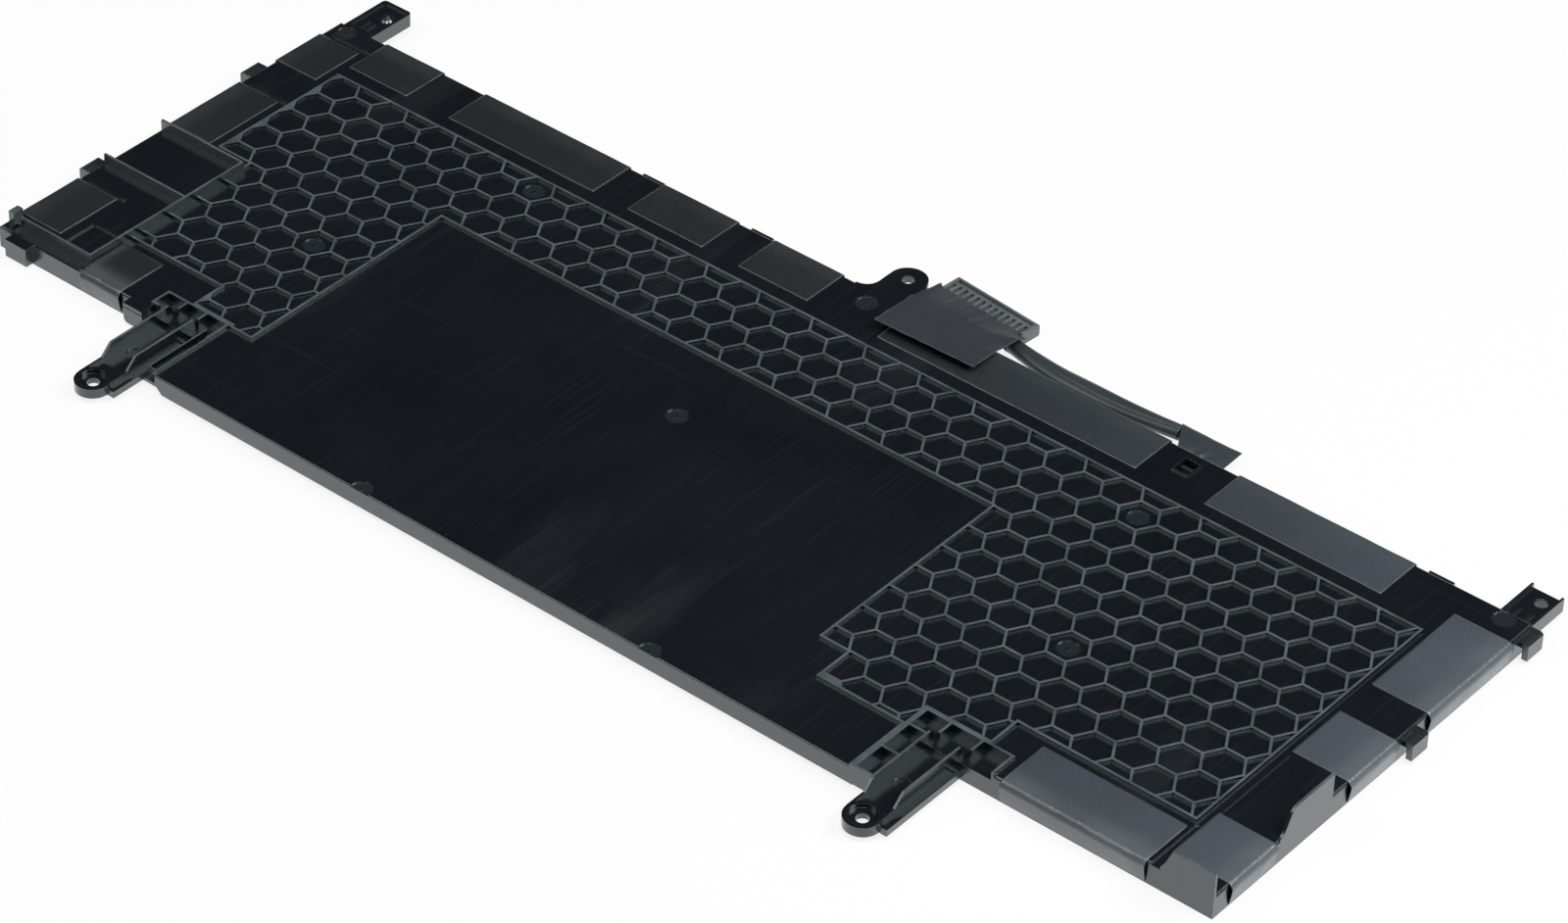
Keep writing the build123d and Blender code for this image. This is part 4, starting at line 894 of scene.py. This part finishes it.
def folded_wrap(name, finish):
    """A closed tube of oval sections that narrow to a flat seam, and its crescent folds.

    T runs from 0 at the entry to 1 at the seam, and A is the angle round a section. Height and
    level go from the entry's to the seam's with t to the power 1.6. The square root of the cosine
    makes the section fuller than an oval. A fold is the sine of the distance from a centre,
    strongest on one ring. A flat tongue of the same tape covers the cut in the tray's wall.
    """
    rows, columns = 90, 72
    t, a = np.meshgrid(np.linspace(0, 1, rows), np.linspace(0, 2 * np.pi, columns, endpoint=False),
                       indexing="ij")
    near, far = (np.array(ends) for ends in zip(WRAP_ENTRY, WRAP_END))
    inner = near[0] + (near[1] - near[0]) * t[..., None]
    outer = far[0] + (far[1] - far[0]) * t[..., None]
    middle, half = (inner + outer) / 2, (outer - inner) / 2
    narrowed = t ** WRAP_TAPER
    height = (WRAP_LEVELS[1] - WRAP_LEVELS[0]) / 2 * (1 - narrowed) + WRAP_SEAM_HALF
    level = sum(WRAP_LEVELS) / 2 * (1 - narrowed) + WRAP_PINCH * narrowed
    cosine = np.sign(np.cos(a)) * np.abs(np.cos(a)) ** 0.5
    plan_place = middle + half * cosine[..., None]
    ring = np.linalg.norm(plan_place - WRAP_FOLD_CENTRE, axis=2)
    folds = np.sin(2.3 * ring + 0.8 * smooth_noise(ring, 2.0, 61))
    folds = folds * bell(ring, WRAP_FOLD_RING, 4.0)
    folds *= WRAP_FOLD_DEPTH * np.sin(np.pi * np.clip(t * 1.1, 0, 1))
    z = level + (height + folds) * np.sin(a)
    z += 0.06 * smooth_noise(plan_place[..., 0] * 1.3 + plan_place[..., 1], 1.7, 62) * (1 - t)
    tongue = np.array([[x, y, h] for x in WRAP_TONGUE[0] for y in WRAP_TONGUE[1]
                       for h in WRAP_TONGUE[2]])
    points = np.concatenate([np.dstack([plan_place, z]).reshape(-1, 3), tongue])
    quads, index = tube_quads(rows, columns)
    caps = [index[0, ::-1].tolist(), index[-1].tolist()]
    tongue_quads = (np.array(TONGUE_FACES) + index.size).tolist()
    return add_mesh(name, points * MM, quads + caps + tongue_quads, finish)


wrap = folded_wrap("folded_wrap", wrap_finish)
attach(wrap, "root")
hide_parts("harness_wrap")
print("folded wrap", len(wrap.data.polygons), "faces")

# %% [markdown]
# ## The flap over the plug
# A stiff sheet of tape is stuck to the wires behind the plug and stands out over the tray. It
# falls steeply behind a curved crease, and its cut edges are ragged. A bent plane would be round
# at the crease, so the sheet is a height over a grid whose borders follow the cut edges.

# %% The flap
PLUG_CENTRE = (11.95, 65.3)
PLUG_TURN = math.radians(-5.6)
PLUG_FRONT = 2.3
FLAP_LEFT = ((0.0, 2.0), (0.5, 1.0), (0.62, 0.5), (0.66, 0.95), (0.85, 1.1), (1.0, 0.7))
FLAP_RIGHT = ((0.0, 24.6), (0.45, 23.8), (1.0, 23.6))
FLAP_FRONT_LEVEL = 6.9
FLAP_CREST_LEVEL = 4.5
FLAP_BACK_LEVEL = 2.85
FLAP_THICKNESS = 0.2
FLAP_LENGTH = 23
FLAP_DEPTH = 20
FLAP_FRONT = 43.2
FLAP_SKEW = 0.6
FLAP_SETBACK = 0.55
CREASE_PLACE = 0.68
CREASE_SWEEP = 0.17


def plug_front_line(x):
    """Y of the plug's wire side at an x, from its middle, turn and depth."""
    middle = PLUG_CENTRE[1] - PLUG_FRONT / math.cos(PLUG_TURN)
    return middle + math.tan(PLUG_TURN) * (x - PLUG_CENTRE[0])


def flap_grid():
    """Grid from the left to the right edge and from the front to the plug, and its rim mark.

    U runs from 0 to 1 along the plug and V from 0 to 1 towards it. The height goes straight from
    the front's level to the crease's, and from there to the back's with the power 1.15 of the
    rest of the way. The crease lies at one share of V and sweeps back at the right, as a square.
    """
    u, v = np.meshgrid(np.linspace(0, 1, 150), np.linspace(0, 1, 120), indexing="ij")
    left, right = (np.interp(v, *zip(*side)) for side in (FLAP_LEFT, FLAP_RIGHT))
    along, ahead = u * FLAP_LENGTH, v * FLAP_DEPTH
    left = left + 0.12 * smooth_noise(ahead, 0.9, 71)
    right = right + 0.10 * smooth_noise(ahead, 1.3, 72)
    x = left + (right - left) * u
    front = FLAP_FRONT + FLAP_SKEW * u + 0.06 * smooth_noise(along, 1.5, 73)
    ragged = 0.22 * smooth_noise(along, 0.8, 74) + 0.15 * smooth_noise(along, 2.4, 75)
    back = plug_front_line(x) - FLAP_SETBACK + ragged + 0.9 * bell(u, 0, 0.05)
    y = front + (back - front) * v
    crest = CREASE_PLACE + CREASE_SWEEP * np.clip((u - 0.6) / 0.4, 0, 1) ** 2
    rise = np.clip(v / crest, 0, 1)
    fall = np.clip((v - crest) / (1 - crest), 0, 1)
    z = FLAP_FRONT_LEVEL + (FLAP_CREST_LEVEL - FLAP_FRONT_LEVEL) * rise
    z = z + (FLAP_BACK_LEVEL - FLAP_CREST_LEVEL) * fall ** 1.15
    z += 0.10 * smooth_noise(x + 0.4 * y, 5.0, 76) * rise
    z += 0.06 * smooth_noise(x - 0.5 * y, 2.3, 77) * np.sin(np.pi * np.clip(v * 1.6 - 0.6, 0, 1))
    edge = np.minimum(np.minimum(along, FLAP_LENGTH - along),
                      np.minimum(ahead, FLAP_DEPTH - ahead))
    rim = np.clip(1.6 - 1.6 * edge / TAPE_RIM_WIDTH, 0, 1)
    return np.dstack([x, y, z]), {"rim": rim, "crinkle": rim * 0}


grid, marks = flap_grid()
flap = add_shell("plug_flap", grid, FLAP_THICKNESS, flap_finish, marks)
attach(flap, "root")
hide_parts("connector_flap")
print("flap", len(flap.data.polygons), "faces")

# %% [markdown]
# ## The wires of the plug
# Thirteen thin wires fan out of the harness, each into its own slot. One wire copied thirteen
# times would look like a comb, so each is a round tube along a smooth spline of its own. The fan
# is hidden for the most part by the flap.

# %% The wires
WIRE_COUNT = 13
WIRE_RADIUS = 0.24
WIRE_ORDER = ("black", "white", "white", "red", "white", "black", "blue", "white", "black",
              "white", "red", "white", "black")
WIRE_STEPS = 8
PLUG_LENGTH = 20.4
PLUG_WALL = 0.7
SLOT_WIDTH = 0.8
SLOT_PITCH = (PLUG_LENGTH - 2 * PLUG_WALL - SLOT_WIDTH) / (WIRE_COUNT - 1)
SLOT_FLOOR = 1.35
BUNDLE_END = HARNESS_ROUTE[-1]


def wire_line(number):
    """Spline points of one wire: slot, step up in front of the plug, fan, end of the bundle.

    A slot's place is its number, counted from the middle one, times the pitch along the turned
    plug. At the bundle the wires share out its width by number, on three levels in turn.
    """
    x = (number - (WIRE_COUNT - 1) / 2) * SLOT_PITCH
    across = np.array([math.cos(PLUG_TURN), math.sin(PLUG_TURN)])
    ahead = np.array([math.sin(PLUG_TURN), -math.cos(PLUG_TURN)])
    z = SLOT_FLOOR + WIRE_RADIUS + 0.02
    middle = np.array(PLUG_CENTRE)
    wave = 0.35 * math.sin(2.1 * number)
    lane = BUNDLE_END[1] - 1.0 + 2.0 * (WIRE_COUNT - 1 - number) / (WIRE_COUNT - 1)
    level = 0.75 + 0.62 * (number % 3)
    plan_points = [middle + across * x + ahead * 0.9, middle + across * x + ahead * 1.9,
                   middle + across * (x + wave) + ahead * 2.9,
                   middle + across * (x + 0.8 + wave) + ahead * (3.9 + 0.15 * number),
                   (BUNDLE_END[0] - 1.6, lane), (BUNDLE_END[0] + 0.6, lane)]
    levels = [z, z, 2.1 + 0.2 * math.sin(1.7 * number), 2.0, level, level]
    return [(float(p[0]), float(p[1]), h) for p, h in zip(plan_points, levels)]


def wire_tube(name, number, finish):
    """A round wire along its spline."""
    return add_object(name, spline_mesh(name, wire_line(number), WIRE_STEPS, WIRE_RADIUS), finish)


wires = [wire_tube(f"plug_wire_{number + 1}", number, WIRE_FINISHES[tone])
         for number, tone in enumerate(WIRE_ORDER)]
for wire in wires:
    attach(wire, "root")
    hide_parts("connector_wires")
print("wires", len(wires))

# %% [markdown]
# ## The floor
# The battery lies on a white table. A floor bright enough to look pure white would throw too
# much light at the walls, so its paint is a plain pale one that holds the shadow, and it glows
# only for the camera and for rays that a glossy face mirrors. The upright walls then mirror
# white, as they do in the picture.

# %% Floor
FLOOR_HALF = 6.0
FLOOR_LEVEL = -0.00002


def add_floor():
    """A wide pale floor just under the battery, white to the camera and in reflections."""
    signs = np.array([(-1, -1), (1, -1), (1, 1), (-1, 1)])
    corners = np.column_stack([signs * FLOOR_HALF, np.full(4, FLOOR_LEVEL)])
    finish, tree, shader = new_finish("pale_floor")
    shader.inputs["Base Color"].default_value = (0.85, 0.85, 0.85, 1)
    shader.inputs["Roughness"].default_value = 0.9
    shader.inputs["Specular IOR Level"].default_value = 0.0
    glow = node(tree, "ShaderNodeEmission", Strength=1.0)
    glow.inputs["Color"].default_value = (1, 1, 1, 1)
    blend = node(tree, "ShaderNodeMixShader")
    path = node(tree, "ShaderNodeLightPath")
    mirrored = combine(tree, "MAXIMUM", path.outputs["Is Glossy Ray"],
                       path.outputs["Is Transmission Ray"])
    seen = combine(tree, "MULTIPLY", path.outputs["Is Camera Ray"], 0.85)
    seen = combine(tree, "MAXIMUM", seen, mirrored)
    tree.links.new(seen, blend.inputs[0])
    tree.links.new(shader.outputs[0], blend.inputs[1])
    tree.links.new(glow.outputs[0], blend.inputs[2])
    tree.links.new(blend.outputs[0], tree.nodes["Material Output"].inputs["Surface"])
    floor = add_mesh("floor", corners, [[0, 1, 2, 3]], finish, False)


add_floor()
print("floor", 2 * FLOOR_HALF, "m wide")

# %% [markdown]
# ### The world
# What lies beyond the floor is mirrored as well. An even white sky would put a grey veil over
# the black plate, which faces it, so the world is white only to the camera and low down in
# reflections, and gives everything else a dim, plain light.

# %% World
WORLD_LEVEL = 0.10


def add_world(level):
    """White to the camera and low down in reflections; a plain level for everything else."""
    world = bpy.data.worlds.new("studio")
    bpy.context.scene.world = world
    world.use_nodes = True
    tree = world.node_tree
    back = tree.nodes["Background"]
    back.inputs["Color"].default_value = (1, 1, 1, 1)
    path = node(tree, "ShaderNodeLightPath")
    place = node(tree, "ShaderNodeTexCoord")
    split = node(tree, "ShaderNodeSeparateXYZ")
    tree.links.new(place.outputs["Generated"], split.inputs[0])
    low_down = between(tree, split.outputs["Z"], 0.0, 0.10, 1.0, 0.0)
    plain = between(tree, path.outputs["Is Diffuse Ray"], 0.0, 1.0, level / 4, level)
    mirrored = combine(tree, "MAXIMUM", path.outputs["Is Glossy Ray"],
                       path.outputs["Is Transmission Ray"])
    white = combine(tree, "MAXIMUM", path.outputs["Is Camera Ray"],
                    combine(tree, "MULTIPLY", mirrored, low_down))
    tree.links.new(combine(tree, "MAXIMUM", white, plain), back.inputs["Strength"])


add_world(WORLD_LEVEL)
print("world", bpy.context.scene.world.name)

# %% [markdown]
# ### The lamps
# One strong lamp would leave hard shadows between the ribs, so three soft ones stand round the
# battery, high above it. None stands where the flat top would mirror it into the camera, so the
# black plastic stays dark.

# %% Lamps
LAMPS = {
    "middle_lamp": ((0.32, -0.38, 1.85), 0.8, 0.8, 17),
    "right_lamp": ((1.15, 0.5, 1.35), 1.0, 0.8, 22),
    "left_lamp": ((-0.85, -0.95, 1.35), 0.9, 0.9, 6),
}


def add_lamp(name, place, width, height, power):
    """A soft rectangular lamp that faces the middle of the battery."""
    light = bpy.data.lights.new(name, "AREA")
    light.shape = "RECTANGLE"
    light.size = width
    light.size_y = height
    light.energy = power
    lamp = bpy.data.objects.new(name, light)
    lamp.location = place
    lamp.rotation_euler = (-Vector(place)).to_track_quat("-Z", "Y").to_euler()
    bpy.context.collection.objects.link(lamp)


for lamp_name, settings in LAMPS.items():
    add_lamp(lamp_name, *settings)
print("lamps", sorted(LAMPS))

bpy.context.scene.view_settings.view_transform = "Standard"
